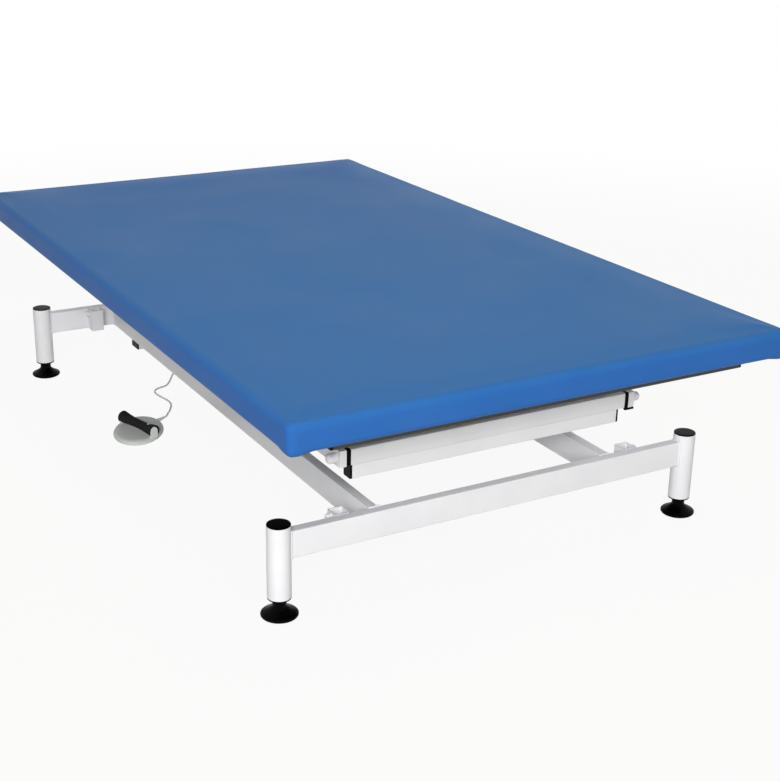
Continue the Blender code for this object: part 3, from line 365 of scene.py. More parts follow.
def loft(loops, closed=False, capped=False, bm=None):
    """Faces from loop to loop of points; closed joins the last loop to the first."""
    bm = bm or bmesh.new()
    rings = [[bm.verts.new(point) for point in loop] for loop in loops]
    bridge(bm, rings, closed)
    if capped:
        bm.faces.new(rings[0])
        bm.faces.new(rings[-1])
    return bm


def lathe(profile, axis, middle, sides=TURNED_SIDES, closed=False, bm=None):
    """A turned shape from pairs of place along the axis and radius; closed joins its ends."""
    u, v = middle
    loops = [
        [
            placed(axis, u + radius * math.cos(a), v + radius * math.sin(a), w)
            for a in turns(sides)[:sides if radius else 1]
        ]
        for w, radius in profile
    ]
    return loft(loops, closed, bm=bm)


def prism(loop, axis, start, end, bm=None):
    loops = [[placed(axis, u, v, w) for u, v in loop] for w in (start, end)]
    return loft(loops, capped=True, bm=bm)


def merged(node):
    """A copy of a CAD node's mesh, with its triangles joined and its flat faces whole."""
    bm = bmesh.new()
    bm.from_mesh(frame["nodes"][node].data)
    bmesh.ops.remove_doubles(bm, verts=bm.verts, dist=MERGE)
    bmesh.ops.dissolve_limit(bm, angle_limit=FLAT_ANGLE, verts=bm.verts, edges=bm.edges)
    return bm


def outward(bm):
    bmesh.ops.recalc_face_normals(bm, faces=bm.faces)
    return bm


def plain_object(name, data):
    made = bpy.data.objects.new(name, data)
    bpy.context.scene.collection.objects.link(made)
    return made


def mesh_of(name, bm):
    mesh = bpy.data.meshes.new(name)
    bm.to_mesh(mesh)
    bm.free()
    if "custom_normal" in mesh.attributes:
        mesh.attributes.remove(mesh.attributes["custom_normal"])
    mesh.shade_smooth()
    return mesh


def result_of(made):
    """The mesh that an object's modifiers give."""
    graph = bpy.context.evaluated_depsgraph_get()
    return bpy.data.meshes.new_from_object(made.evaluated_get(graph))


def remove(*objects):
    for made in objects:
        bpy.data.objects.remove(made, do_unlink=True)


def belong(made, body, nodes=()):
    """The piece rides on its body and the nodes that it stands for are hidden."""
    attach(made, body)
    if nodes:
        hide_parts(*nodes)
    return made


def hard(name, bm, look, body, nodes=(), edge=0.0):
    """A hard piece: soft edges, normals that keep its flat faces flat, its finish and its body."""
    mesh = mesh_of(name, bm)
    mesh.set_sharp_from_angle(angle=SHARP_ANGLE)
    made = plain_object(name, mesh)
    mesh.materials.append(finish(look))
    if edge:
        soft = made.modifiers.new("soft_edges", "BEVEL")
        soft.width = edge
        soft.segments = 2
        soft.limit_method = "ANGLE"
        soft.angle_limit = BEVEL_ANGLE
        soft.miter_outer = "MITER_ARC"
    made.modifiers.new("flat_faces", "WEIGHTED_NORMAL").keep_sharp = True
    return belong(made, body, nodes)


def piece(name, bm, look, body, nodes=(), edge=0.0):
    """A hard piece from mesh code, its faces turned outward."""
    return hard(name, outward(bm), look, body, nodes, edge)


def dress(edge, *nodes, look=None):
    """CAD nodes' own shapes with soft edges, and their slot's finish or the look given."""
    for node in nodes:
        own = look or LOOK_OF_SLOT[SLOT_OF[node]]
        hard(f"{node}_dressed", merged(node), own, BODY_OF[node], (node,), edge)


# Geometry Nodes
def new_tree(name, sockets):
    tree = bpy.data.node_groups.new(name, "GeometryNodeTree")
    tree.interface.new_socket("Geometry", in_out="INPUT", socket_type="NodeSocketGeometry")
    for label, kind in sockets.items():
        tree.interface.new_socket(label, in_out="INPUT", socket_type=f"NodeSocket{kind}")
    tree.interface.new_socket("Geometry", in_out="OUTPUT", socket_type="NodeSocketGeometry")
    return tree, add(tree, "NodeGroupInput").outputs


def end_tree(tree, source, look):
    real = add(tree, "GeometryNodeRealizeInstances", {"Geometry": source}).outputs["Geometry"]
    last = add(tree, "GeometryNodeSetMaterial", {"Geometry": real, "Material": look})
    add(tree, "NodeGroupOutput", {"Geometry": last.outputs["Geometry"]})
    return tree


def bead_tree(name):
    """Weld beads along the lines of a mesh, with the ripples that the torch leaves."""
    tree, given = new_tree(
        name, {"Bead radius": "Float", "Ripple pitch": "Float", "Finish": "Material"},
    )
    pitch = given["Ripple pitch"]
    line = add(tree, "GeometryNodeMeshToCurve", {"Mesh": given["Geometry"]}).outputs["Curve"]
    quarter_pitch = calc(tree, "MULTIPLY", {0: pitch}, {1: 0.25})
    fine = add(
        tree, "GeometryNodeResampleCurve", {"Curve": line, "Length": quarter_pitch}, mode="LENGTH",
    )
    along = add(tree, "GeometryNodeSplineParameter").outputs["Length"]
    angle = calc(tree, "MULTIPLY", {0: calc(tree, "DIVIDE", {0: along, 1: pitch})}, {1: math.tau})
    swell = calc(tree, "MULTIPLY_ADD", {0: calc(tree, "SINE", {0: angle})}, {1: 0.14, 2: 1.0})
    ring = add(
        tree, "GeometryNodeCurvePrimitiveCircle", {"Radius": given["Bead radius"]},
        {"Resolution": BEAD_SIDES},
    )
    profile = ring.outputs["Curve"]
    tube = add(
        tree, "GeometryNodeCurveToMesh",
        {"Curve": fine.outputs["Curve"], "Profile Curve": profile, "Scale": swell},
        {"Fill Caps": True},
    )
    soft = add(tree, "GeometryNodeSetShadeSmooth", {"Geometry": tube.outputs["Mesh"]})
    return end_tree(tree, soft.outputs["Geometry"], given["Finish"])


def end_rows(tree, given, points, rotation):
    """Sets the part on points, turned by a rotation."""
    part = add(tree, "GeometryNodeObjectInfo", {"Object": given["Part"]}, {"As Instance": True})
    row = add(tree, "GeometryNodeInstanceOnPoints", {
        "Points": points, "Instance": part.outputs["Geometry"], "Rotation": rotation,
    })
    return end_tree(tree, row.outputs["Instances"], given["Finish"])


def row_tree(name):
    """One part, set at an even pitch along the lines of a mesh and turned with them."""
    tree, given = new_tree(name, {"Part": "Object", "Pitch": "Float", "Finish": "Material"})
    line = add(tree, "GeometryNodeMeshToCurve", {"Mesh": given["Geometry"]}).outputs["Curve"]
    links = {"Curve": line, "Length": given["Pitch"]}
    places = add(tree, "GeometryNodeCurveToPoints", links, mode="LENGTH").outputs
    return end_rows(tree, given, places["Points"], places["Rotation"])


def spot_tree(name):
    """One part, set on each point of a mesh, its own Z axis along the point's facing."""
    tree, given = new_tree(name, {"Part": "Object", "Finish": "Material"})
    facing = add(
        tree, "GeometryNodeInputNamedAttribute", (), {"Name": "facing"}, data_type="FLOAT_VECTOR",
    )
    links = {"Vector": facing.outputs["Attribute"]}
    turn = add(tree, "FunctionNodeAlignRotationToVector", links, axis="Z")
    return end_rows(tree, given, given["Geometry"], turn.outputs["Rotation"])


TREES = {"weld_bead": bead_tree, "row_of_parts": row_tree, "parts_on_spots": spot_tree}


def grow(name, mesh, tree_name, body, look, values):
    """Runs a tree on a mesh of points or lines and keeps the result as a plain mesh piece."""
    source = plain_object(f"{name}_source", mesh)
    tree = bpy.data.node_groups.get(tree_name) or TREES[tree_name](tree_name)
    step = source.modifiers.new(tree_name, "NODES")
    step.node_group = tree
    values = {**values, "Finish": finish(look)}
    for socket in tree.interface.items_tree:
        if socket.in_out == "INPUT" and socket.name in values:
            step[socket.identifier] = values[socket.name]
    made = plain_object(name, result_of(source))
    remove(source)
    return belong(made, body)


def repeat(name, part, mesh, tree_name, look, body, **values):
    """A part, set along the lines or on the points of a mesh; the part itself isn't kept."""
    template = plain_object(f"{name}_part", mesh_of(f"{name}_part", outward(part)))
    grow(name, mesh, tree_name, body, look, {"Part": template, **values})
    remove(template)


def lines_mesh(name, paths):
    """Open or closed lines; a path is its points and whether it closes."""
    bm = bmesh.new()
    for points, closed in paths:
        verts = [bm.verts.new(p) for p in points]
        for a, b in zip(verts, verts[1:] + verts[:1] if closed else verts[1:]):
            bm.edges.new((a, b))
    return mesh_of(name, bm)


def set_on_spots(name, part, spots, look, body):
    """A turned or cut part on every spot: its place and its facing."""
    mesh = bpy.data.meshes.new(name)
    mesh.from_pydata([place for place, _ in spots], [], [])
    facing = mesh.attributes.new("facing", "FLOAT_VECTOR", "POINT")
    for value, (_, direction) in zip(facing.data, spots):
        value.vector = direction
    repeat(name, part, mesh, "parts_on_spots", look, body)


def screw_part(radius, height):
    """A pan head with a round recess, standing on Z = 0."""
    rim = eased(((0.0, radius), (height, radius * 0.94), (height, radius * 0.5)), height / 2)
    profile = [(-height / 2, 0.0), (-height / 2, radius * 0.6), (0.0, radius * 0.6)] + rim
    profile += [(height * 0.35, radius * 0.5), (height * 0.35, 0.0)]
    return lathe(profile, "Z", (0.0, 0.0), SCREW_SIDES)


def ring_part(inner, outer, thick):
    """A flanged ring, standing on Z = 0."""
    loop = (
        (0.0, inner), (0.0, outer), (thick * 0.6, outer), (thick, outer - thick * 0.4),
        (thick, inner),
    )
    return lathe(loop, "Z", (0.0, 0.0), RING_SIDES, closed=True)


# Settings
def number_prop(name, description, default, **kind):
    return bpy.props.FloatProperty(name=name, description=description, default=default, **kind)


def length_prop(name, description, default):
    return number_prop(name, description, default, subtype="DISTANCE", unit="LENGTH")


def power_prop(name, description, default):
    return number_prop(name, description, default, unit="POWER")


def colour_prop(name, description, default):
    return bpy.props.FloatVectorProperty(
        name=name, description=description, default=default, size=3, subtype="COLOR",
    )


class PadSettings(bpy.types.PropertyGroup):
    """The padded top."""

    corner: length_prop("Corner radius", "Radius of the pad's corners in plan", 0.022)
    top_edge: length_prop("Top edge radius", "Radius of the edge round the top face", 0.018)
    bottom_edge: length_prop("Bottom edge radius", "Radius where the cover turns under", 0.010)
    draw_in: length_prop("Draw-in", "How far the sides pull in between the corners", 0.0015)
    spread: length_prop("Spread", "How much wider the cover starts than it ends", 0.0043)
    fold_drop: length_prop("Fold drop", "How far the folds hang lower at the corners", 0.005)
    fold_width: length_prop("Fold width", "Length of each side that the corner fold takes", 0.054)
    swell: length_prop("Swell", "How far the foam may push the cover out", 0.0045)
    waves: length_prop("Waves", "Height of the slow unevenness of the cover", 0.0005)
    cell: length_prop("Cell", "Spacing of the grid over the middle of the top", 0.026)
    turnover: length_prop("Turnover width", "Width of cover stapled under the sides", 0.045)
    staple_pitch: length_prop("Staple pitch", "Distance between staples", 0.032)


class SteelSettings(bpy.types.PropertyGroup):
    """The welded and painted steel."""

    edge: length_prop("Edge radius", "Softness of cut edges under the paint", 0.0007)
    bead: length_prop("Bead radius", "Radius of the weld beads", 0.0022)
    ripple: length_prop("Ripple pitch", "Distance between the ripples of a bead", 0.0045)


class LeadSettings(bpy.types.PropertyGroup):
    """The lead of the foot switch."""

    diameter: length_prop("Diameter", "Outside diameter of the lead", 0.005)


class StageSettings(bpy.types.PropertyGroup):
    """Floor, light and camera."""

    floor: colour_prop("Floor", "Colour of the floor", linear("#C0C0C0"))
    key: power_prop("Key light", "Power of the soft light near the camera", 430.0)
    lamp_colour: colour_prop("Overhead colour", "Colour of the warm light above", (1.0, 1.0, 0.42))
    overhead: power_prop("Overhead light", "Power of the soft light above the table", 40.0)
    back: power_prop("Back light", "Power of the low soft light behind the table", 190.0)
    fill: number_prop("Fill", "Strength of the even light from all round", 0.07, subtype="FACTOR")
    whiteness: number_prop(
        "Whiteness", "How far the seen floor is plain white over its shadows", 0.93,
        subtype="FACTOR",
    )
    shadow_reach: length_prop("Shadow reach", "Distance at which the floor is plain white", 4.5)
    lens: number_prop("Lens", "Focal length of the camera", 65.39, subtype="DISTANCE_CAMERA")


class TableSettings(bpy.types.PropertyGroup):
    """All settings of the table."""

    pad: bpy.props.PointerProperty(name="Pad", description="The padded top", type=PadSettings)
    steel: bpy.props.PointerProperty(name="Steel", description="The steel", type=SteelSettings)
    lead: bpy.props.PointerProperty(name="Lead", description="The lead", type=LeadSettings)
    stage: bpy.props.PointerProperty(
        name="Stage", description="Floor, light and camera", type=StageSettings,
    )


# Stage: camera of the photograph, as its place and the directions of its right, up and back, and
# the lamps, as name, place, what each points at, and diameter
CAMERA_AT = Vector((-1.5837, -3.0671, 1.4395))
CAMERA_RIGHT = Vector((0.86937, -0.49387, 0.01731))
CAMERA_UP = Vector((0.16113, 0.31639, 0.93485))
CAMERA_BACK = Vector((-0.46716, -0.80993, 0.35463))
SENSOR_WIDTH = 36.0
KEY_LAMP = ("key_light", (-3.3, -5.6, 3.0), (0.0, -0.1, 0.30), 3.4)
OVERHEAD_LAMP = ("overhead_light", (0.0, -0.8, 3.4), (0.0, -0.3, 0.4), 2.6)
BACK_LAMP = ("back_light", (3.6, 5.4, 1.5), (0.0, 0.0, 0.30), 3.0)
WHITE = (1.0, 1.0, 1.0)
FLOOR_HALF = 40.0


def seen(tree, share=None):
    """A share for what the camera, a gloss or a glass sees, and nothing for light on the object."""
    path = add(tree, "ShaderNodeLightPath").outputs
    first = calc(tree, "MAXIMUM", {0: path["Is Camera Ray"], 1: path["Is Glossy Ray"]})
    both = calc(tree, "MAXIMUM", {0: first, 1: path["Is Transmission Ray"]})
    return both if share is None else calc(tree, "MULTIPLY", {0: both, 1: share})


def cleared(made):
    """The empty node tree of a new material or world."""
    made.use_nodes = True
    made.node_tree.nodes.clear()
    return made.node_tree


def end_mix(tree, kind, share, plain, white):
    mix = add(tree, "ShaderNodeMixShader", {"Fac": share, 1: plain, 2: white})
    add(tree, kind, {"Surface": mix.outputs["Shader"]})


def make_floor(settings):
    bm = bmesh.new()
    corners = ((-1, -1), (1, -1), (1, 1), (-1, 1))
    bm.faces.new([bm.verts.new((x * FLOOR_HALF, y * FLOOR_HALF, -GAP)) for x, y in corners])
    floor = plain_object("floor", mesh_of("floor", bm))
    made = bpy.data.materials.new("studio_floor")
    tree = cleared(made)
    matt = add(tree, "ShaderNodeBsdfDiffuse", (), {"Color": (*settings.floor, 1.0)})
    white = add(tree, "ShaderNodeEmission", (), {"Color": (*WHITE, 1.0), "Strength": 1.0})
    place = add(tree, "ShaderNodeTexCoord").outputs["Object"]
    away = add(tree, "ShaderNodeVectorMath", {0: place}, operation="LENGTH").outputs["Value"]
    far = settings.shadow_reach
    reach = {"From Min": far / 2, "From Max": far, "To Min": settings.whiteness}
    share = add(
        tree, "ShaderNodeMapRange", {"Value": away}, reach, interpolation_type="SMOOTHSTEP",
    )
    shown = seen(tree, share.outputs["Result"])
    end_mix(
        tree, "ShaderNodeOutputMaterial", shown, matt.outputs["BSDF"], white.outputs["Emission"],
    )
    floor.data.materials.append(made)


def make_world(settings):
    world = bpy.data.worlds.new("studio")
    tree = cleared(world)
    fill, white = (
        add(
            tree, "ShaderNodeBackground", (), {"Color": (*WHITE, 1.0), "Strength": strength},
        ).outputs["Background"]
        for strength in (settings.fill, 1.0)
    )
    end_mix(tree, "ShaderNodeOutputWorld", seen(tree), fill, white)
    bpy.context.scene.world = world


def soft_light(name, place, target, size, colour, power):
    lamp = bpy.data.lights.new(name, "AREA")
    lamp.color = colour
    lamp.shape = "DISK"
    lamp.size = size
    lamp.energy = power
    made = plain_object(name, lamp)
    made.location = place
    made.rotation_euler = (Vector(target) - Vector(place)).to_track_quat("-Z", "Y").to_euler()
    made.visible_glossy = False


class TABLE_OT_stage(bpy.types.Operator):
    """Camera of the photograph, pale floor and soft studio light"""

    bl_idname = "table.stage"
    bl_label = "Stage"

    def execute(self, context):
        settings = context.scene.table.stage
        camera = bpy.data.cameras.new("camera")
        camera.lens = settings.lens
        camera.sensor_width = SENSOR_WIDTH
        made = plain_object("camera", camera)
        turn = Matrix((CAMERA_RIGHT, CAMERA_UP, CAMERA_BACK)).transposed().to_4x4()
        made.matrix_world = Matrix.Translation(CAMERA_AT) @ turn
        context.scene.camera = made
        context.scene.view_settings.view_transform = "Standard"
        make_floor(settings)
        make_world(settings)
        soft_light(*KEY_LAMP, WHITE, settings.key)
        soft_light(*OVERHEAD_LAMP, settings.lamp_colour, settings.overhead)
        soft_light(*BACK_LAMP, WHITE, settings.back)
        return {"FINISHED"}


# Lead of the foot switch: out of the plate's strain relief, along the floor and up to the gland
PLATE_AT = Vector((-0.4305, 0.2530, 0.0))
RELIEF_TURN = math.radians(31)
RELIEF_ROOT = 0.066
RELIEF_MOUTH = 0.1045
RELIEF_R = 0.005
GLAND_AT = Vector((-0.158, 0.652, 0.1155))
LEAD_POINTS = 150
LEAD_SAMPLES = 600
LEAD_RISE = 0.030
LEAD_ROUTE = (
    (-0.319, 0.332), (-0.300, 0.361), (-0.283, 0.400), (-0.282, 0.429), (-0.2875, 0.460),
    (-0.2915, 0.490), (-0.289, 0.508), (-0.280, 0.522), (-0.263, 0.532), (-0.246, 0.538),
    (-0.230, 0.555), (-0.214, 0.580), (-0.188, 0.624), (-0.170, 0.645),
)


def smooth_curve(points, samples):
    """Centripetal spline through the points."""
    padded = [2 * points[0] - points[1]] + points + [2 * points[-1] - points[-2]]
    knots = [0.0]
    for a, b in zip(padded, padded[1:]):
        knots.append(knots[-1] + (b - a).length ** 0.5)
    first, last = knots[1], knots[-2]
    made = []
    span = 1
    for i in range(samples + 1):
        t = first + (last - first) * i / samples
        while span < len(padded) - 3 and t > knots[span + 1]:
            span += 1
        p, k = padded[span - 1:span + 3], knots[span - 1:span + 3]
        a = [p[j].lerp(p[j + 1], (t - k[j]) / (k[j + 1] - k[j])) for j in range(3)]
        b = [a[j].lerp(a[j + 1], (t - k[j]) / (k[j + 2] - k[j])) for j in range(2)]
        made.append(b[0].lerp(b[1], (t - k[1]) / (k[2] - k[1])))
    return made


def even_points(path, count):
    """Points at even distances along a path, and its length."""
    lengths = [0.0]
    for a, b in zip(path, path[1:]):
        lengths.append(lengths[-1] + (b - a).length)
    picked = []
    j = 0
    for i in range(count):
        goal = lengths[-1] * i / (count - 1)
        while j < len(path) - 2 and lengths[j + 1] < goal:
            j += 1
        t = (goal - lengths[j]) / (lengths[j + 1] - lengths[j])
        picked.append(path[j].lerp(path[j + 1], t))
    return picked, lengths[-1]


class TABLE_OT_lead(bpy.types.Operator):
    """Lead from the foot switch to the control box"""

    bl_idname = "table.lead"
    bl_label = "Lead"

    def execute(self, context):
        diameter = context.scene.table.lead.diameter
        floor = diameter / 2 + GAP
        out = Vector((math.cos(RELIEF_TURN), math.sin(RELIEF_TURN), 0.0))
        mouth = PLATE_AT + out * (RELIEF_MOUTH + 2 * GAP)
        mouth.z = RELIEF_R
        route = [mouth, mouth + out * 2 * diameter]
        route += [Vector((x, y, floor)) for x, y in LEAD_ROUTE]
        rise = (floor + LEAD_RISE, GLAND_AT.z - 2 * diameter, GLAND_AT.z)
        route += [Vector((*GLAND_AT.xy, z)) for z in rise]
        path = smooth_curve(route, LEAD_SAMPLES)
        for place in path:
            place.z = max(place.z, floor)
        points, length = even_points(path, LEAD_POINTS)
        curve = bpy.data.curves.new("foot_switch_lead", "CURVE")
        curve.dimensions = "3D"
        curve.bevel_depth = diameter / 2
        curve.bevel_resolution = 5
        curve.use_fill_caps = True
        line = curve.splines.new("POLY")
        line.points.add(len(points) - 1)
        for point, place in zip(line.points, points):
            point.co = (*place, 1.0)
        curve.materials.append(finish(SHEATH))
        made = plain_object("foot_switch_lead", curve)
        belong(made, "base", ("foot_switch_cable",))
        return {"FINISHED"}


# Pad: the board's pocket, the grid that the cloth simulation works on, the cover's cloth and waves
PAD_LOW, PAD_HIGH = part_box("top_cushion")
BOARD_LOW, BOARD_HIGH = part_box("top_board")
PAD_HALF_X = (PAD_HIGH.x - PAD_LOW.x) / 2
PAD_HALF_Y = (PAD_HIGH.y - PAD_LOW.y) / 2
POCKET_INSET = PAD_HALF_X - BOARD_HIGH.x - GAP
FINE_LINES = 9
EDGE_CELL = 0.006
CLOTH_FRAMES = 20
COVER = {
    "quality": 5, "mass": 0.4, "tension_stiffness": 40.0, "compression_stiffness": 40.0,
    "bending_stiffness": 2.0, "vertex_group_mass": "held", "use_pressure": True,
    "uniform_pressure_force": 4.0,
}
SLOW_WAVES = ((7.0, 0.6), (19.0, 0.4))
TOP_FACING = 0.5


def grid_lines(half, coarse):
    """Grid lines over one width of the top, as shares of its half: closer at both edges."""
    near = [EDGE_CELL * i for i in range(FINE_LINES + 1)]
    rest = half - near[-1]
    steps = max(1, round(rest / coarse))
    near += [near[-1] + rest * i / steps for i in range(1, steps + 1)]
    side = [1 - d / half for d in near]
    return [-s for s in side[:-1]] + side[::-1]


def cornered(x, y, half_x, half_y, radius):
    """A point of a square-cornered plan, moved so that the loop it lies on has round corners."""
    inset = min(half_x - abs(x), half_y - abs(y))
    radius = max(radius - inset, 0.0)
    if radius == 0.0:
        return x, y
    room_x, room_y = half_x - inset - radius, half_y - inset - radius
    core_x, core_y = max(-room_x, min(room_x, x)), max(-room_y, min(room_y, y))
    arm = Vector((x - core_x, y - core_y))
    if arm.x and arm.y:
        arm *= radius / arm.length
    return core_x + arm.x, core_y + arm.y


def pad_profile(settings):
    """The pad's section from the pocket's ceiling, round the skirt to the top: (inset, height)."""
    bottom, top = PAD_LOW.z, PAD_HIGH.z - settings.swell
    low_r, high_r = settings.bottom_edge, settings.top_edge
    levels = [(POCKET_INSET, BOARD_HIGH.z + GAP), (POCKET_INSET, bottom)]
    levels += [(low_r * (1 - math.sin(a)), bottom + low_r * (1 - math.cos(a))) for a in quarter(4)]
    side = top - high_r - bottom - low_r
    levels += [(0.0, bottom + low_r + side * share) for share in (0.33, 0.67)]
    levels += [(high_r * (1 - math.cos(a)), top - high_r * (1 - math.sin(a))) for a in quarter(7)]
    return levels


def pad_mesh(settings):
    """The pad before the foam swells it, all in quads, and which of its points the board holds."""
    lines_x = grid_lines(PAD_HALF_X, settings.cell)
    lines_y = grid_lines(PAD_HALF_Y, settings.cell)
    last_x, last_y = len(lines_x) - 1, len(lines_y) - 1
    rim = [(i, 0) for i in range(last_x)] + [(last_x, j) for j in range(last_y)]
    rim += [(i, last_y) for i in range(last_x, 0, -1)] + [(0, j) for j in range(last_y, 0, -1)]
    bm = bmesh.new()

    def spot(i, j, inset, z):
        free = inset != POCKET_INSET
        spread = settings.spread if free else 0.0
        wide, long = PAD_HALF_X - inset + spread, PAD_HALF_Y - inset + spread
        radius = max(settings.corner - inset, settings.bottom_edge)
        x, y = cornered(lines_x[i] * wide, lines_y[j] * long, wide, long, radius)
        pull = settings.draw_in if free else 0.0
        x -= pull * lines_x[i] * (1 - lines_y[j] ** 2)
        y -= pull * lines_y[j] * (1 - lines_x[i] ** 2)
        near = math.hypot(PAD_HALF_X - abs(x), PAD_HALF_Y - abs(y)) / settings.fold_width
        low = max(0.0, 1 - (z - PAD_LOW.z) / (PAD_HIGH.z - PAD_LOW.z) * 2)
        if free and near < 1:
            z -= settings.fold_drop * low * (1 - near ** 4) ** 2
        return bm.verts.new((x, y, z))

    def sheet(edge, inset, z):
        """Fills the loop of points with the grid inside it."""
        at = dict(zip(rim, edge))
        for i in range(last_x + 1):
            for j in range(last_y + 1):
                if (i, j) not in at:
                    at[i, j] = spot(i, j, inset, z)
        for i in range(last_x):
            for j in range(last_y):
                bm.faces.new((at[i, j], at[i + 1, j], at[i + 1, j + 1], at[i, j + 1]))
        return at

    levels = pad_profile(settings)
    rings = [[spot(i, j, inset, z) for i, j in rim] for inset, z in levels]
    bridge(bm, rings)
    held = list(sheet(rings[0], *levels[0]).values()) + rings[1] + rings[2]
    sheet(rings[-1], *levels[-1])
    outward(bm)
    bm.verts.index_update()
    return bm, sorted({v.index for v in held})


def swollen(made, held):
    """How far the foam's pressure moves each point of the cover, from a short cloth simulation."""
    made.vertex_groups.new(name="held").add(held, 1.0, "REPLACE")
    cloth = made.modifiers.new("cover", "CLOTH")
    for key, value in COVER.items():
        setattr(cloth.settings, key, value)
    cloth.settings.effector_weights.gravity = 0.0
    cloth.collision_settings.use_collision = False
    scene = bpy.context.scene
    cloth.point_cache.frame_end = CLOTH_FRAMES
    for step in range(1, CLOTH_FRAMES + 1):
        scene.frame_set(step)
    after = made.evaluated_get(bpy.context.evaluated_depsgraph_get()).data.vertices
    moves = [new.co - old.co for new, old in zip(after, made.data.vertices)]
    made.modifiers.remove(cloth)
    made.vertex_groups.clear()
    scene.frame_set(1)
    return moves


class TABLE_OT_pad(bpy.types.Operator):
    """Padded top: foam under a vinyl cover, swelled by a cloth simulation"""

    bl_idname = "table.pad"
    bl_label = "Pad"

    def execute(self, context):
        settings = context.scene.table.pad
        bm, held = pad_mesh(settings)
        mesh = mesh_of("padded_top", bm)
        made = plain_object("padded_top", mesh)
        mesh.materials.append(finish(VINYL))
        moves = swollen(made, held)
        most = settings.swell
        for index in sorted(set(range(len(moves))) - set(held)):
            vert, move = mesh.vertices[index], moves[index]
            if move.length > 0.0:
                vert.co += move.normalized() * most * math.tanh(move.length / most)
            if vert.normal.z > TOP_FACING:
                slow = sum(noise.noise(vert.co * pitch) * share for pitch, share in SLOW_WAVES)
                vert.co.z += settings.waves * (slow - 1.0)
        smooth = made.modifiers.new("smooth", "SUBSURF")
        smooth.levels = smooth.render_levels = 1
        belong(made, "top", ("top_cushion",))
        return {"FINISHED"}


# Underside: the turned-under vinyl and its staples, as half crown, wire and distance from the ends;
# the margin's sag and the staples' level are shares of the vinyl's thickness
VINYL_T = 0.0008
MARGIN_STEPS = 24
MARGIN_SAG = 0.15
STAPLE_CROWN = 0.0055
STAPLE_WIRE = 0.0006
STAPLE_END = 0.05
STAPLE_LEVEL = 1.3


class TABLE_OT_underside(bpy.types.Operator):
    """Plywood board under the pad, black dust cover that is partly painted shade, and the cover's
    stapled margin
    """

    bl_idname = "table.underside"
    bl_label = "Underside"

    def execute(self, context):
        settings = context.scene.table.pad
        dress(0.0, "top_board")
        outer = POCKET_INSET - GAP
        end_width = PAD_HALF_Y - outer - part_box("top_cross_tube_rear")[1].y - 2 * GAP
        top, low = BOARD_LOW.z - GAP / 2, BOARD_LOW.z - GAP / 2 - VINYL_T

        def margin(share):
            """Half sizes of the line that lies a share of the margin in from its outer edge."""
            wide = PAD_HALF_X - outer - share * settings.turnover
            return wide, PAD_HALF_Y - outer - share * end_width

        loops = []
        sag = low - VINYL_T * MARGIN_SAG
        for share, z in ((0.0, top), (0.0, low), (0.5, sag), (1.0, low), (1.0, top)):
            wide, long = margin(share)
            radius = max(settings.corner - outer - share * end_width / 2, settings.bottom_edge)
            fold = VINYL_T / 2 if z < top else 0.0
            loop = rounded(2 * wide, 2 * long, radius, MARGIN_STEPS)
            drops = [fold if k % 4 == 1 else 0.0 for k in range(len(loop))]
            loops.append([(x, y, z - drop) for (x, y), drop in zip(loop, drops)])
        piece("cover_turnover", loft(loops, closed=True), VINYL, "top")

        wide, long = (2 * (half - 2 * GAP) for half in margin(1.0))
        under = BOARD_LOW.z - GAP * 0.6, BOARD_LOW.z - GAP * 0.1
        # Black dust cover under the board; its black also stands in for the shade under the top
        # (painted shade)
        cloth = prism(rounded(wide, long, settings.bottom_edge), "Z", *under)
        piece("dust_cover", cloth, CLOTH, "top")

        section = rounded(2 * STAPLE_WIRE, 1.4 * STAPLE_WIRE, STAPLE_WIRE / 2, 2)
        staple = prism(section, "Z", -STAPLE_CROWN, STAPLE_CROWN)
        wide, long = margin(0.5)
        level = top - VINYL_T * STAPLE_LEVEL
        x, y = wide - STAPLE_END, long - STAPLE_END
        rows = [([(s * wide, -y, level), (s * wide, y, level)], False) for s in SIGNS]
        rows += [([(-x, s * long, level), (x, s * long, level)], False) for s in SIGNS]
        repeat(
            "cover_staples", staple, lines_mesh("cover_staples", rows), "row_of_parts", ZINC, "top",
            Pitch=settings.staple_pitch,
        )
        return {"FINISHED"}


# Legs: tube wall, flanges and eased edges, the foot's stem, neck, rim and thread
LEG_WALL = 0.0025
FLANGE = 0.003
TUBE_EASE, CAP_EASE, INSERT_EASE = 0.0006, 0.0012, 0.0008
CAP_FALL, CAP_INSET, CAP_CROWN = 0.0004, 0.0006, 0.55
INSERT_INSET = 0.0005
STEM_R = 0.0055
NECK_R = 0.0145
NECK_EASE = 0.0015
THREAD_R, THREAD_ROOT = 0.005, 0.0045
THREAD_STEPS = 24
FOOT_RIM = ((0.0, 0.006), (0.0022, 0.0016), (0.0040, 0.0002), (0.0060, 0.0), (0.0076, 0.0004))
FLARE_AT, FLARE_RISE, FLARE_INSET, FLARE_POWER, FLARE_STEPS = 0.0088, 0.0172, 0.0016, 1.6, 14


def foot_profile(rim, top, end):
    """A mushroom foot from the floor to its neck's top, and the thread from there to its end."""
    made = [(0.0, 0.0)] + [(z, rim - inset) for z, inset in FOOT_RIM]
    for t in (i / FLARE_STEPS for i in range(FLARE_STEPS + 1)):
        spread = (rim - FLARE_INSET - NECK_R) * (1 - t) ** FLARE_POWER
        made.append((FLARE_AT + FLARE_RISE * t, NECK_R + spread))
    made += [(top - NECK_EASE, NECK_R), (top, NECK_R - NECK_EASE), (top, THREAD_R)]
    for k in range(THREAD_STEPS + 1):
        made.append((top + (end - top) * k / THREAD_STEPS, THREAD_R if k % 2 else THREAD_ROOT))
    return made + [(end, 0.0)]


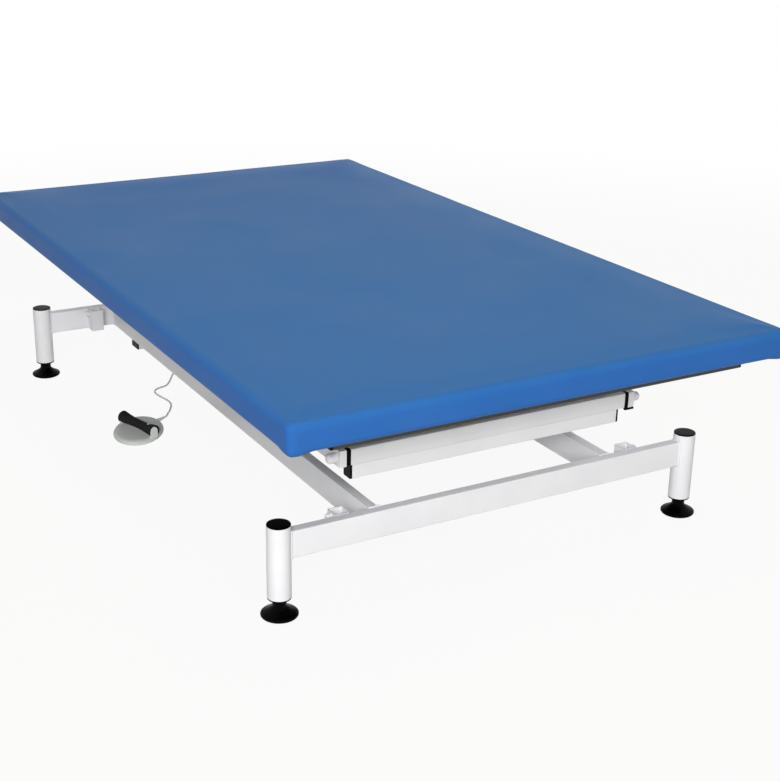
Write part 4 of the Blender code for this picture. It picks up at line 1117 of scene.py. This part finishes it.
class TABLE_OT_legs(bpy.types.Operator):
    """Round legs with their black caps, bottom inserts and levelling feet"""

    bl_idname = "table.legs"
    bl_label = "Legs"

    def execute(self, context):
        for corner, _, _ in CORNERS:
            low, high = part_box(f"leg_{corner}")
            middle, radius = ((low + high) / 2).xy, (high.x - low.x) / 2
            wall = radius - LEG_WALL

            def turn(name, node, profile, look, closed=False):
                bm = lathe(profile, "Z", middle, closed=closed)
                piece(f"{name}_{corner}", bm, look, "base", (f"{node}_{corner}",))

            tube = ((low.z, wall), (low.z, radius), (high.z, radius), (high.z, wall))
            turn("leg_tube", "leg", eased(tube, TUBE_EASE), PAINT, True)

            low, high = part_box(f"leg_cap_{corner}")
            seat, plug = high.z - FLANGE, wall - 2 * GAP
            cap = (
                (low.z, 0.0), (low.z, plug), (seat, plug), (seat, radius),
                (high.z - CAP_FALL, radius - CAP_INSET), (high.z, radius * CAP_CROWN),
                (high.z, 0.0),
            )
            turn("leg_top_cap", "leg_cap", eased(cap, CAP_EASE), BLACK)

            low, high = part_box(f"leg_insert_{corner}")
            seat, neck_top = low.z + FLANGE, low.z - GAP
            insert = (
                (low.z, STEM_R), (low.z, radius - INSERT_INSET), (seat, radius), (seat, wall - GAP),
                (high.z, wall - GAP), (high.z, STEM_R),
            )
            turn("leg_bottom", "leg_insert", eased(insert, INSERT_EASE), BLACK, True)

            low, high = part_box(f"levelling_foot_{corner}")
            foot = foot_profile((high.x - low.x) / 2, neck_top, high.z)
            turn("foot", "levelling_foot", foot, BLACK)
        return {"FINISHED"}


# Base and lift: round heads of the clamp screws and of the pivot axles, and their shanks; the rims,
# the head's straight and round parts and the axle's dome are shares
CLAMP_HEAD, CLAMP_SHANK, CLAMP_CHAMFER = 0.010, 0.004, 0.0008
CLAMP_RIM, CLAMP_SIDE, CLAMP_DOME = 0.96, 0.4, 0.6
AXLE_HEAD, AXLE_SHANK, AXLE_CHAMFER = 0.023, 0.007, 0.0006
AXLE_RIM, AXLE_DOME = 0.97, 0.75


class TABLE_OT_base(bpy.types.Operator):
    """Crossbars, rails, actuator tube and post sockets of the base"""

    bl_idname = "table.base"
    bl_label = "Base"

    def execute(self, context):
        edge = context.scene.table.steel.edge
        dress(
            edge, "base_crossbar_front", "base_crossbar_rear", "base_rail_left", "base_rail_right",
            "actuator_anchor_tube", "anchor_plug_left", "anchor_plug_right",
        )
        for corner, sx, _ in CORNERS:
            dress(edge, f"post_socket_{corner}")
            node = f"clamp_screw_{corner}"
            low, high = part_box(node)
            radius = (high.y - low.y) / 2
            tip, end = (low.x, high.x) if sx > 0 else (high.x, low.x)
            seat, head = end - sx * CLAMP_HEAD, sx * CLAMP_HEAD
            profile = [(tip, 0.0), (tip, CLAMP_SHANK), (seat, CLAMP_SHANK)]
            profile += [(seat, radius * CLAMP_RIM), (seat + sx * CLAMP_CHAMFER, radius)]
            profile += dome(seat + head * CLAMP_SIDE, head * CLAMP_DOME, radius, 8)
            bm = lathe(profile, "X", ((low + high) / 2).yz, SMALL_SIDES)
            piece(f"clamp_bolt_{corner}", bm, PAINT, BODY_OF[node], (node,))
        return {"FINISHED"}


class TABLE_OT_lift(bpy.types.Operator):
    """Lift arms, pivot bars with caps and axles, and the lower bar"""

    bl_idname = "table.lift"
    bl_label = "Lift"

    def execute(self, context):
        edge = context.scene.table.steel.edge
        dress(edge, "front_lift_arm", "rear_lift_arm")
        dress(edge, "front_pivot_bar", "rear_pivot_bar", "front_lower_bar")
        for side in SIDES:
            plugs = ("front_pivot_cap", "rear_pivot_cap", "lower_bar_plug")
            dress(edge, *(f"{plug}_{side}" for plug in plugs))
        for end in ENDS:
            node = f"{end}_pivot_axle"
            low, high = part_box(node)
            radius, seat = (high.z - low.z) / 2, high.x - AXLE_HEAD
            rise = AXLE_DOME * radius
            half = [(seat, AXLE_SHANK), (seat, radius * AXLE_RIM), (seat + AXLE_CHAMFER, radius)]
            half += dome(seat + AXLE_HEAD - rise, rise, radius, 12)
            profile = [(-w, r) for w, r in reversed(half)] + half
            bm = lathe(profile, "X", ((low + high) / 2).yz, RING_SIDES)
            piece(f"{end}_axle", bm, PAINT, "top", (node,))
        return {"FINISHED"}


# Top frame and bearings: middles of the rails, places of the screws, torque tubes and their collars
TOP_RAIL_X = 0.300
CROSS_SCREWS = (-0.43, -0.16, 0.16, 0.43)
RAIL_SCREWS = (-0.45, -0.15, 0.35, 0.70)
FRAME_SCREW = (0.0055, 0.0032)
BASE_RAIL_X = 0.2975
BOSS = 0.015
TORQUE_R = 0.017
COLLAR_WALL, COLLAR_T, COLLAR_GAP = 0.009, 0.011, 0.0024
COLLAR_SCREW = (0.0032, 0.0024)
BUSH_WALL, BUSH_T = 0.008, 0.002
LIFT_JOINTS = dict(zip(ENDS, ("lift", "rear_lift")))


class TABLE_OT_top_frame(bpy.types.Operator):
    """Tubes, hangers, plugs and screws of the frame under the top"""

    bl_idname = "table.top_frame"
    bl_label = "Top frame"

    def execute(self, context):
        edge = context.scene.table.steel.edge
        # The tubes and hangers under the pad are dark grey: painted shade for the pad's shadow on
        # white steel
        dress(edge, *(f"top_cross_tube_{end}" for end in ENDS), look=PAINTED_SHADE)
        dress(edge, *(f"top_rail_{side}" for side in SIDES), look=PAINTED_SHADE)
        dress(edge, *(f"top_tube_plug_{corner}" for corner, _, _ in CORNERS))
        spots = []
        for end in ENDS:
            low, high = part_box(f"top_cross_tube_{end}")
            spots += [((x, (low.y + high.y) / 2, low.z), DOWN) for x in CROSS_SCREWS]
        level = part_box("top_cross_tube_front")[0].z
        spots += [((s * TOP_RAIL_X, y, level), DOWN) for s in SIGNS for y in RAIL_SCREWS]
        set_on_spots("frame_screws", screw_part(*FRAME_SCREW), spots, ZINC, "top")
        return {"FINISHED"}


class TABLE_OT_bearings(bpy.types.Operator):
    """Flanged bushes in the bearing plates and clamped collars on the torque tubes"""

    bl_idname = "table.bearings"
    bl_label = "Bearings"

    def execute(self, context):
        bushes = []
        inner = BASE_RAIL_X - BOSS - COLLAR_GAP
        for end, joint in LIFT_JOINTS.items():
            _, y, z = JOINTS[joint]["pos_m"]
            for sx in SIGNS:
                x = sx * BASE_RAIL_X
                bushes += [((x + side * BOSS, y, z), (side, 0.0, 0.0)) for side in SIGNS]
            collars = [((sx * inner, y, z), (-sx, 0.0, 0.0)) for sx in SIGNS]
            part = ring_part(TORQUE_R + GAP / 2, TORQUE_R + COLLAR_WALL, COLLAR_T)
            set_on_spots(f"{end}_collars", part, collars, ZINC, f"{end}_lift")
            x, under = inner - COLLAR_T / 2, z - TORQUE_R - COLLAR_WALL
            bolts = [((sx * x, y, under), DOWN) for sx in SIGNS]
            bolt = screw_part(*COLLAR_SCREW)
            set_on_spots(f"{end}_collar_screws", bolt, bolts, ZINC, f"{end}_lift")
        part = ring_part(TORQUE_R + 2 * GAP, TORQUE_R + BUSH_WALL, BUSH_T)
        set_on_spots("bearing_bushes", part, bushes, BLACK, "base")
        return {"FINISHED"}


# Welds: where the arms and cranks meet the torque tubes, the sockets' edges, half widths of rails
# and hangers, the bearing plates' half size, and how far beads stop short of an edge
ARM_X = 0.3561
CRANK_FACES = (-0.027, -0.017, 0.017, 0.027)
SOCKET_EDGES = (0.350, 0.385)
RAIL_HALF = HANGER_HALF = 0.0125
TOP_RAIL_HALF = 0.02
HANGER_DEPTH = 0.040
REAR_HANGER = (0.060, 0.100)
PLATE_HALF_T, PLATE_HALF_Y = 0.006, 0.074
SHORT, SHORTER = 0.002, 0.003
LEG_WELD_STEPS = 8


def rectangle(half, start, end):
    return (-half, start), (half, start), (half, end), (-half, end)


def tube_weld(x, y, z):
    """A bead round a torque tube."""
    angles = turns(SMALL_SIDES)
    return [(x, y + TORQUE_R * math.cos(a), z + TORQUE_R * math.sin(a)) for a in angles], True


def base_weld_paths():
    """Crossbars to legs, sockets and rails to crossbars, bearing plates to rails."""
    paths = []
    bar_low, bar_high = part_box("base_crossbar_front")
    rail_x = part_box("base_rail_right")[0].x + RAIL_HALF
    z0, z1 = bar_low.z, bar_high.z
    half_w = (bar_high.y - bar_low.y) / 2
    inner = abs(bar_low.y + bar_high.y) / 2 - half_w
    for corner, sx, sy in CORNERS:
        low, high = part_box(f"leg_{corner}")
        centre, radius = (low + high) / 2, (high.x - low.x) / 2
        lean = math.asin(half_w / radius)
        over = [
            (centre.x - sx * radius * math.cos(a), centre.y + radius * math.sin(a))
            for a in (lean * (2 * i / LEG_WELD_STEPS - 1) for i in range(LEG_WELD_STEPS + 1))
        ]
        paths.append(([(*p, z1) for p in over] + [(*p, z0) for p in reversed(over)], True))
        wall = sy * inner
        for x in SOCKET_EDGES:
            paths.append(([(sx * x, wall, z0 + SHORT), (sx * x, wall, z1 - SHORT)], False))
        box = rectangle(RAIL_HALF, z0, z1)
        paths.append(([(sx * rail_x + du, wall, z) for du, z in box], True))
    for sx in SIGNS:
        for joint in LIFT_JOINTS.values():
            y = JOINTS[joint]["pos_m"][1]
            for side in SIGNS:
                x = sx * BASE_RAIL_X + side * PLATE_HALF_T
                paths.append(([(x, y + s * PLATE_HALF_Y, z1) for s in SIGNS], False))
    return paths


def top_weld_paths():
    """Rails to cross tubes, hangers to rails and hangers to pivot bars."""
    paths = []
    low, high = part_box("top_cross_tube_front")
    z0, z1 = low.z, high.z - SHORT
    front_low, front_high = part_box("front_pivot_bar")
    rear_low, rear_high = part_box("rear_pivot_bar")
    front_y = front_high.y + GAP
    ends = rectangle(TOP_RAIL_HALF, z1, z0)
    for x in (s * TOP_RAIL_X for s in SIGNS):
        for sy in SIGNS:
            y = sy * (abs(high.y) - GAP / 2)
            paths.append(([(x + ends[i][0], y, ends[i][1]) for i in (0, 3, 2, 1)], False))
        for y0, y1 in ((front_y, front_y + HANGER_DEPTH), REAR_HANGER):
            paths.append(([(x + du, y, z0) for du, y in rectangle(HANGER_HALF, y0, y1)], True))
        for edge in (x - HANGER_HALF, x + HANGER_HALF):
            heights = front_low.z + SHORTER, front_high.z - SHORTER
            paths.append(([(edge, front_high.y, z) for z in heights], False))
            depths = rear_low.y + SHORTER, rear_high.y - SHORTER
            paths.append(([(edge, y, rear_high.z) for y in depths], False))
    return paths


class TABLE_OT_welds(bpy.types.Operator):
    """Weld beads of the base, the lift arms and the top frame"""

    bl_idname = "table.welds"
    bl_label = "Welds"

    def execute(self, context):
        steel = context.scene.table.steel
        values = {"Bead radius": steel.bead, "Ripple pitch": steel.ripple}

        def weld(name, paths, body, look=PAINT):
            grow(name, lines_mesh(name, paths), "weld_bead", body, look, values)

        weld("base_welds", base_weld_paths(), "base")
        arms = (-ARM_X, ARM_X)
        for end, places in (("front", arms + CRANK_FACES), ("rear", arms)):
            _, y, z = JOINTS[LIFT_JOINTS[end]]["pos_m"]
            weld(f"{end}_arm_welds", [tube_weld(x, y, z) for x in places], f"{end}_lift")
        # The top frame's beads take the same dark grey painted shade
        weld("top_welds", top_weld_paths(), "top", PAINTED_SHADE)
        return {"FINISHED"}


# Actuator, along -Y from its eye: case, motor beside it, outer tube, screws of the case
CASE_R, CASE_WALL = 0.040, 0.003
MOTOR_X, MOTOR_R = 0.068, 0.031
CASE_START, CASE_END, MOTOR_END, TUBE_END = -0.020, -0.115, -0.250, -0.475
CASE_EDGE = ((0.0, -0.004), (0.0015, -0.001), (0.004, 0.0))
CASE_SEAM = ((-0.066, 0.0), (-0.0665, -0.0012), (-0.0685, -0.0012), (-0.069, 0.0))
GROOVES, GROOVE_AT, GROOVE_PITCH = 5, 0.020, 0.018
GROOVE = ((0.0, 0.0), (0.001, 0.0015), (0.003, 0.0015), (0.004, 0.0))
MOTOR_CAP = ((0.0, 0.0), (0.004, 0.002), (0.006, 0.006))
TUBE_R, TUBE_LIP_R, TUBE_LIP, TUBE_BORE_R, TUBE_BORE = 0.0225, 0.0232, 0.022, 0.0106, 0.020
EYE_HALF, EYE_R, ACTUATOR_EASE = 0.0135, 0.016, 0.0012
PIN_HALF, PIN_R, PIN_EASE = 0.0225, 0.006, 0.001
EYE_NECK, EYE_NECK_AT, EYE_NECK_IN = (0.027, 0.026, 0.003), -0.002, 0.004
ROD_EDGE = 0.0005
CASE_SCREW = (0.0042, 0.0024)
CASE_SCREWS = ((-0.026, 0.024), (-0.026, -0.024), (0.080, 0.020), (0.080, -0.020))


class TABLE_OT_actuator(bpy.types.Operator):
    """Linear actuator: gear case, motor, outer tube and push rod"""

    bl_idname = "table.actuator"
    bl_label = "Actuator"

    def execute(self, context):
        lean = math.asin(JOINTS["rod_slide"]["axis"][2])
        at = Matrix.Translation(JOINTS["actuator_tilt"]["pos_m"])
        place = at @ Matrix.Rotation(-lean, 4, "X")

        def tilted(name, bm, look, nodes=()):
            bm.transform(place)
            piece(name, bm, look, "actuator", nodes)

        steps = [(CASE_START - along, out) for along, out in CASE_EDGE] + list(CASE_SEAM)
        steps += [(CASE_END + along, out) for along, out in reversed(CASE_EDGE)]
        loops = []
        for y, out in steps:
            outline = capsule(CASE_R + out, MOTOR_X, MOTOR_R + CASE_WALL + out, 40)
            loops.append([(u, y, v) for u, v in outline])
        bm = loft(loops, capped=True)
        root = CASE_END + CASE_WALL
        motor = [(root, 0.0), (root, MOTOR_R)]
        for k in range(GROOVES):
            start = CASE_END - GROOVE_AT - GROOVE_PITCH * k
            motor += [(start - along, MOTOR_R - depth) for along, depth in GROOVE]
        motor += [(MOTOR_END - along, MOTOR_R - depth) for along, depth in MOTOR_CAP]
        motor += [(motor[-1][0], 0.0)]
        lathe(motor, "Y", (MOTOR_X, 0.0), bm=bm)
        tilted("actuator_case", bm, GREY, ("actuator_housing",))

        lip, bore = TUBE_END + TUBE_LIP, TUBE_END + TUBE_BORE
        tube = eased((
            (root, 0.0), (root, TUBE_R), (lip, TUBE_R), (lip, TUBE_LIP_R), (TUBE_END, TUBE_LIP_R),
            (TUBE_END, TUBE_BORE_R), (bore, TUBE_BORE_R), (bore, 0.0),
        ), ACTUATOR_EASE)
        tilted("actuator_tube", lathe(tube, "Y", (0.0, 0.0)), ZINC)

        bm = lathe(stepped(-EYE_HALF, EYE_HALF, EYE_R, ACTUATOR_EASE), "X", (0.0, 0.0))
        prism(rounded(*EYE_NECK), "Y", EYE_NECK_AT, CASE_START - EYE_NECK_IN, bm)
        lathe(stepped(-PIN_HALF, PIN_HALF, PIN_R, PIN_EASE), "X", (0.0, 0.0), bm=bm)
        tilted("actuator_eye", bm, ZINC)
        dress(ROD_EDGE, "actuator_rod")
        facing = tuple(place.to_3x3() @ Vector((0, 1, 0)))
        spots = [(tuple(place @ Vector((x, CASE_START, z))), facing) for x, z in CASE_SCREWS]
        set_on_spots("case_screws", screw_part(*CASE_SCREW), spots, ZINC, "actuator")
        return {"FINISHED"}


# Control box: its bottom over the gland's end, the lid's seam and screws, the inlet and the gland
BOX_BOTTOM = 0.012
SEAM_AT = 0.040
SEAM = ((0.0, 0.0), (0.0, 0.0006), (0.0022, 0.0006), (0.0022, 0.0))
BOX_CORNER, BOX_EDGE = 0.006, 0.0008
LID_SCREW = (0.0036, 0.0022)
LID_SCREW_X, LID_SCREW_Y, LID_SCREW_SINK = 0.062, 0.067, 0.0002
INLET_PINS = ((-0.007, -0.002), (0.0, 0.003), (0.007, -0.002))
BLADE, BLADE_DEPTHS = (0.002, 0.004, 0.0006, 2), (0.0125, 0.002)
INLET_OUTER, INLET_INNER, INLET_T = (0.034, 0.027, 0.004), (0.0268, 0.0198, 0.003), 0.0018
GLAND_HOLE_R, GLAND_R, GLAND_RIB_R, GLAND_ROOT_R = 0.0066, 0.0090, 0.0086, 0.0076
GLAND_RIB = (
    (0.0, GLAND_RIB_R), (0.0013, GLAND_RIB_R), (0.0014, GLAND_ROOT_R), (0.0025, GLAND_ROOT_R),
)
GLAND_RIBS, GLAND_TOP, GLAND_PITCH, GLAND_END = 4, 0.0005, 0.0026, 0.0118


class TABLE_OT_control_box(bpy.types.Operator):
    """Control box: housing, lid screws, inlet pins and the gland of the lead"""

    bl_idname = "table.control_box"
    bl_label = "Control box"

    def execute(self, context):
        dress(BOX_EDGE, "control_box")
        low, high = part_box("control_box")
        middle, size = (low + high) / 2, high - low
        bottom = low.z + BOX_BOTTOM

        loops = []
        for z, out in SEAM:
            loop = rounded(size.x + 2 * out, size.y + 2 * out, BOX_CORNER)
            loops.append([(middle.x + u, middle.y + v, bottom + SEAM_AT + z) for u, v in loop])
        piece("lid_seam", loft(loops, closed=True), BLACK, "base")

        level = high.z - LID_SCREW_SINK
        spots = [
            ((middle.x + sx * LID_SCREW_X, middle.y + sy * LID_SCREW_Y, level), UP)
            for sx in SIGNS for sy in SIGNS
        ]
        set_on_spots("lid_screws", screw_part(*LID_SCREW), spots, ZINC, "base")

        inlet_z = bottom + (high.z - bottom) / 2
        bm = bmesh.new()
        for dx, dz in INLET_PINS:
            loop = [(middle.x + dx + u, inlet_z + dz + v) for u, v in rounded(*BLADE)]
            prism(loop, "Y", *(high.y - depth for depth in BLADE_DEPTHS), bm)
        piece("inlet_pins", bm, ZINC, "base")

        face = high.y + GAP / 2
        walls = (
            (INLET_OUTER, 0.0), (INLET_OUTER, INLET_T), (INLET_INNER, INLET_T), (INLET_INNER, 0.0),
        )
        loops = [
            [(middle.x + u, face + out, inlet_z + v) for u, v in rounded(*outline)]
            for outline, out in walls
        ]
        piece("inlet_frame", loft(loops, closed=True), BLACK, "base")

        ribs = [(bottom, GLAND_HOLE_R), (bottom, GLAND_R)]
        for start in (bottom - GLAND_TOP - GLAND_PITCH * k for k in range(GLAND_RIBS)):
            ribs += [(start - along, radius) for along, radius in GLAND_RIB]
        ribs += [(bottom - GLAND_END, GLAND_HOLE_R)]
        bm = lathe(ribs, "Z", GLAND_AT.xy, SMALL_SIDES, closed=True)
        piece("lead_gland", bm, BLACK, "base")
        return {"FINISHED"}


# Foot switch: plate, as shares of its size and height, rocker, its cheeks and the light grey oval
# on its crest
PLATE_TURN = math.radians(-28)
PLATE_SIZE = Vector((0.1294, 0.188, 0.012))
PLATE_LEVELS = (
    (0.965, 0.0), (0.985, 0.04), (0.997, 0.12), (1.0, 0.22), (0.996, 0.36), (0.985, 0.50),
    (0.966, 0.65), (0.938, 0.79), (0.90, 0.90), (0.86, 0.965), (0.80, 1.0), (0.62, 1.02),
    (0.35, 1.03),
)
PLATE_CROWN = 1.032
ROCKER_AT = Vector(JOINTS["rocker_tilt"]["pos_m"])
ROCKER_TURN = math.radians(15.4)
ROCKER_HALF = 0.070
ROCKER_END_R, ROCKER_WAIST_R = 0.0165, 0.0115
ROCKER_CUT = 0.0102
ROCKER_EASE = 0.0008
ROCKER_STEPS, ROCKER_SIDES = 40, 72
CUTTER_HALF, CUTTER_WIDTH, CUTTER_CORNER = 0.12, 0.066, 0.003
CHEEK_R, CHEEK_T, CHEEK_ROOM = 0.0115, 0.007, 0.0018
CHEEK_EDGE, ROCKER_EDGE = 0.0015, 0.0006
PLATE_SIDES, OVAL_SIDES = 96, 32
RELIEF_RIBS, RIB_AT, RIB_PITCH, RIB_TAPER = 5, 0.0845, 0.0036, 0.0003
RELIEF_RIB = ((0.0, 0.0), (0.0004, 0.0009), (0.0014, 0.0009), (0.0018, 0.0001))
RELIEF_MOUTH_R = 0.0035
OVAL_AT = -0.046
OVAL_SIZE = (0.0045, 0.0055, 0.0006)
OVAL_SAG = 0.0007
OVAL_LEVELS = ((1.0, -1.5), (1.0, 0.3), (0.94, 0.75), (0.75, 1.0))


def carved(name, bm, cutters):
    """A mesh with other meshes cut out of it."""
    body = plain_object(name, mesh_of(name, outward(bm)))
    tools = []
    for i, cutter in enumerate(cutters):
        tools.append(plain_object(f"{name}_cut_{i}", mesh_of(f"{name}_cut_{i}", outward(cutter))))
        step = body.modifiers.new(tools[-1].name, "BOOLEAN")
        step.operation = "DIFFERENCE"
        step.solver = "EXACT"
        step.object = tools[-1]
    made = bmesh.new()
    made.from_mesh(result_of(body))
    remove(body, *tools)
    bmesh.ops.remove_doubles(made, verts=made.verts, dist=MERGE)
    return made


def saddle(t):
    """The rocker's radius, from its waist at 0 to its ends at -1 and 1."""
    return ROCKER_WAIST_R + (ROCKER_END_R - ROCKER_WAIST_R) * t ** 2


class TABLE_OT_foot_switch(bpy.types.Operator):
    """Foot switch: oval plate with cheeks and strain relief, rocker and the light grey oval on its
    crest
    """

    bl_idname = "table.foot_switch"
    bl_label = "Foot switch"

    def execute(self, context):
        at_plate = Matrix.Translation(PLATE_AT)
        at_rocker = Matrix.Translation(ROCKER_AT) @ Matrix.Rotation(ROCKER_TURN, 4, "Z")
        wide, long, high = PLATE_SIZE
        loops = [[(0.0, 0.0, 0.0)]]
        for scale, height in PLATE_LEVELS:
            u, v, z = scale * wide / 2, scale * long / 2, height * high
            loops.append([(u * math.cos(a), v * math.sin(a), z) for a in turns(PLATE_SIDES)])
        bm = loft(loops + [[(0.0, 0.0, high * PLATE_CROWN)]])
        bm.transform(at_plate @ Matrix.Rotation(PLATE_TURN, 4, "Z"))
        piece("foot_switch_plate", bm, GREY, "base", ("foot_switch_base",))

        bm = bmesh.new()
        outer = ROCKER_HALF - GAP
        for sy in SIGNS:
            loop = arch(CHEEK_R, high / 2 - ROCKER_AT.z)
            prism(loop, "Y", sy * outer, sy * (outer - CHEEK_T), bm)
        bm.transform(at_rocker)
        piece("rocker_cheeks", bm, GREY, "base", edge=CHEEK_EDGE)

        ribs = [(RELIEF_ROOT, 0.0), (RELIEF_ROOT, RELIEF_R)]
        for k in range(RELIEF_RIBS):
            start, radius = RIB_AT + RIB_PITCH * k, RELIEF_R - RIB_TAPER * k
            ribs += [(start + along, radius - depth) for along, depth in RELIEF_RIB]
        ribs += [(RELIEF_MOUTH, RELIEF_MOUTH_R), (RELIEF_MOUTH, 0.0)]
        bm = lathe(ribs, "X", (0.0, RELIEF_R), SMALL_SIDES)
        bm.transform(at_plate @ Matrix.Rotation(RELIEF_TURN, 4, "Z"))
        piece("lead_relief", bm, GREY, "base")

        end_r = ROCKER_END_R - ROCKER_EASE
        profile = [(-ROCKER_HALF, 0.0), (-ROCKER_HALF, end_r)]
        for t in (2 * i / ROCKER_STEPS - 1 for i in range(ROCKER_STEPS + 1)):
            profile.append(((ROCKER_HALF - ROCKER_EASE) * t, saddle(t)))
        profile += [(ROCKER_HALF, end_r), (ROCKER_HALF, 0.0)]
        roll = lathe(profile, "Y", (0.0, 0.0), ROCKER_SIDES)
        block = rounded(CUTTER_WIDTH, 2 * ROCKER_END_R, CUTTER_CORNER)
        block = [(u, v - ROCKER_CUT - ROCKER_END_R) for u, v in block]
        cutters = [prism(block, "Y", -CUTTER_HALF, CUTTER_HALF)]
        depth = ROCKER_HALF - CHEEK_T - 2 * GAP
        recess = arch(CHEEK_R + CHEEK_ROOM, -ROCKER_AT.z)
        cutters += [prism(recess, "Y", sy * depth, sy * CUTTER_HALF) for sy in SIGNS]
        bm = carved("rocker_roll", roll, cutters)
        bm.transform(at_rocker)
        hard("rocker", bm, RUBBER, "rocker", ("foot_switch_rocker",), ROCKER_EDGE)

        half_u, half_v, thick = OVAL_SIZE
        crest = saddle(OVAL_AT / ROCKER_HALF)
        loops = []
        for scale, lift in OVAL_LEVELS:
            loops.append([
                (
                    scale * half_u * math.cos(a), OVAL_AT + scale * half_v * math.sin(a),
                    crest - OVAL_SAG * math.cos(a) ** 2 + lift * thick,
                )
                for a in turns(OVAL_SIDES)
            ])
        bm = loft(loops, capped=True)
        bm.transform(at_rocker)
        piece("rocker_mark", bm, GREY, "rocker")
        return {"FINISHED"}


# Panel
OPERATORS = (
    TABLE_OT_stage, TABLE_OT_lead, TABLE_OT_pad, TABLE_OT_underside, TABLE_OT_legs, TABLE_OT_base,
    TABLE_OT_lift, TABLE_OT_top_frame, TABLE_OT_bearings, TABLE_OT_welds, TABLE_OT_actuator,
    TABLE_OT_control_box, TABLE_OT_foot_switch,
)


class TABLE_PT_pieces(bpy.types.Panel):
    """Settings and operators of the table"""

    bl_idname = "TABLE_PT_pieces"
    bl_label = "Bobath table"
    bl_space_type = "VIEW_3D"
    bl_region_type = "UI"
    bl_category = "Table"

    def draw(self, context):
        settings = context.scene.table
        for group in (settings.stage, settings.lead, settings.pad, settings.steel):
            box = self.layout.box()
            for key in group.__annotations__:
                box.prop(group, key)
        for operator in OPERATORS:
            self.layout.operator(operator.bl_idname)


CLASSES = (
    PadSettings, SteelSettings, LeadSettings, StageSettings, TableSettings, *OPERATORS,
    TABLE_PT_pieces,
)


def register():
    for made in CLASSES:
        bpy.utils.register_class(made)
    bpy.types.Scene.table = bpy.props.PointerProperty(
        name="Table", description="Settings of the Bobath table", type=TableSettings,
    )


def unregister():
    del bpy.types.Scene.table
    for made in reversed(CLASSES):
        bpy.utils.unregister_class(made)


def main():
    register()
    for operator in OPERATORS:
        group, name = operator.bl_idname.split(".")
        getattr(getattr(bpy.ops, group), name)()


if __name__ == "__main__":
    main()
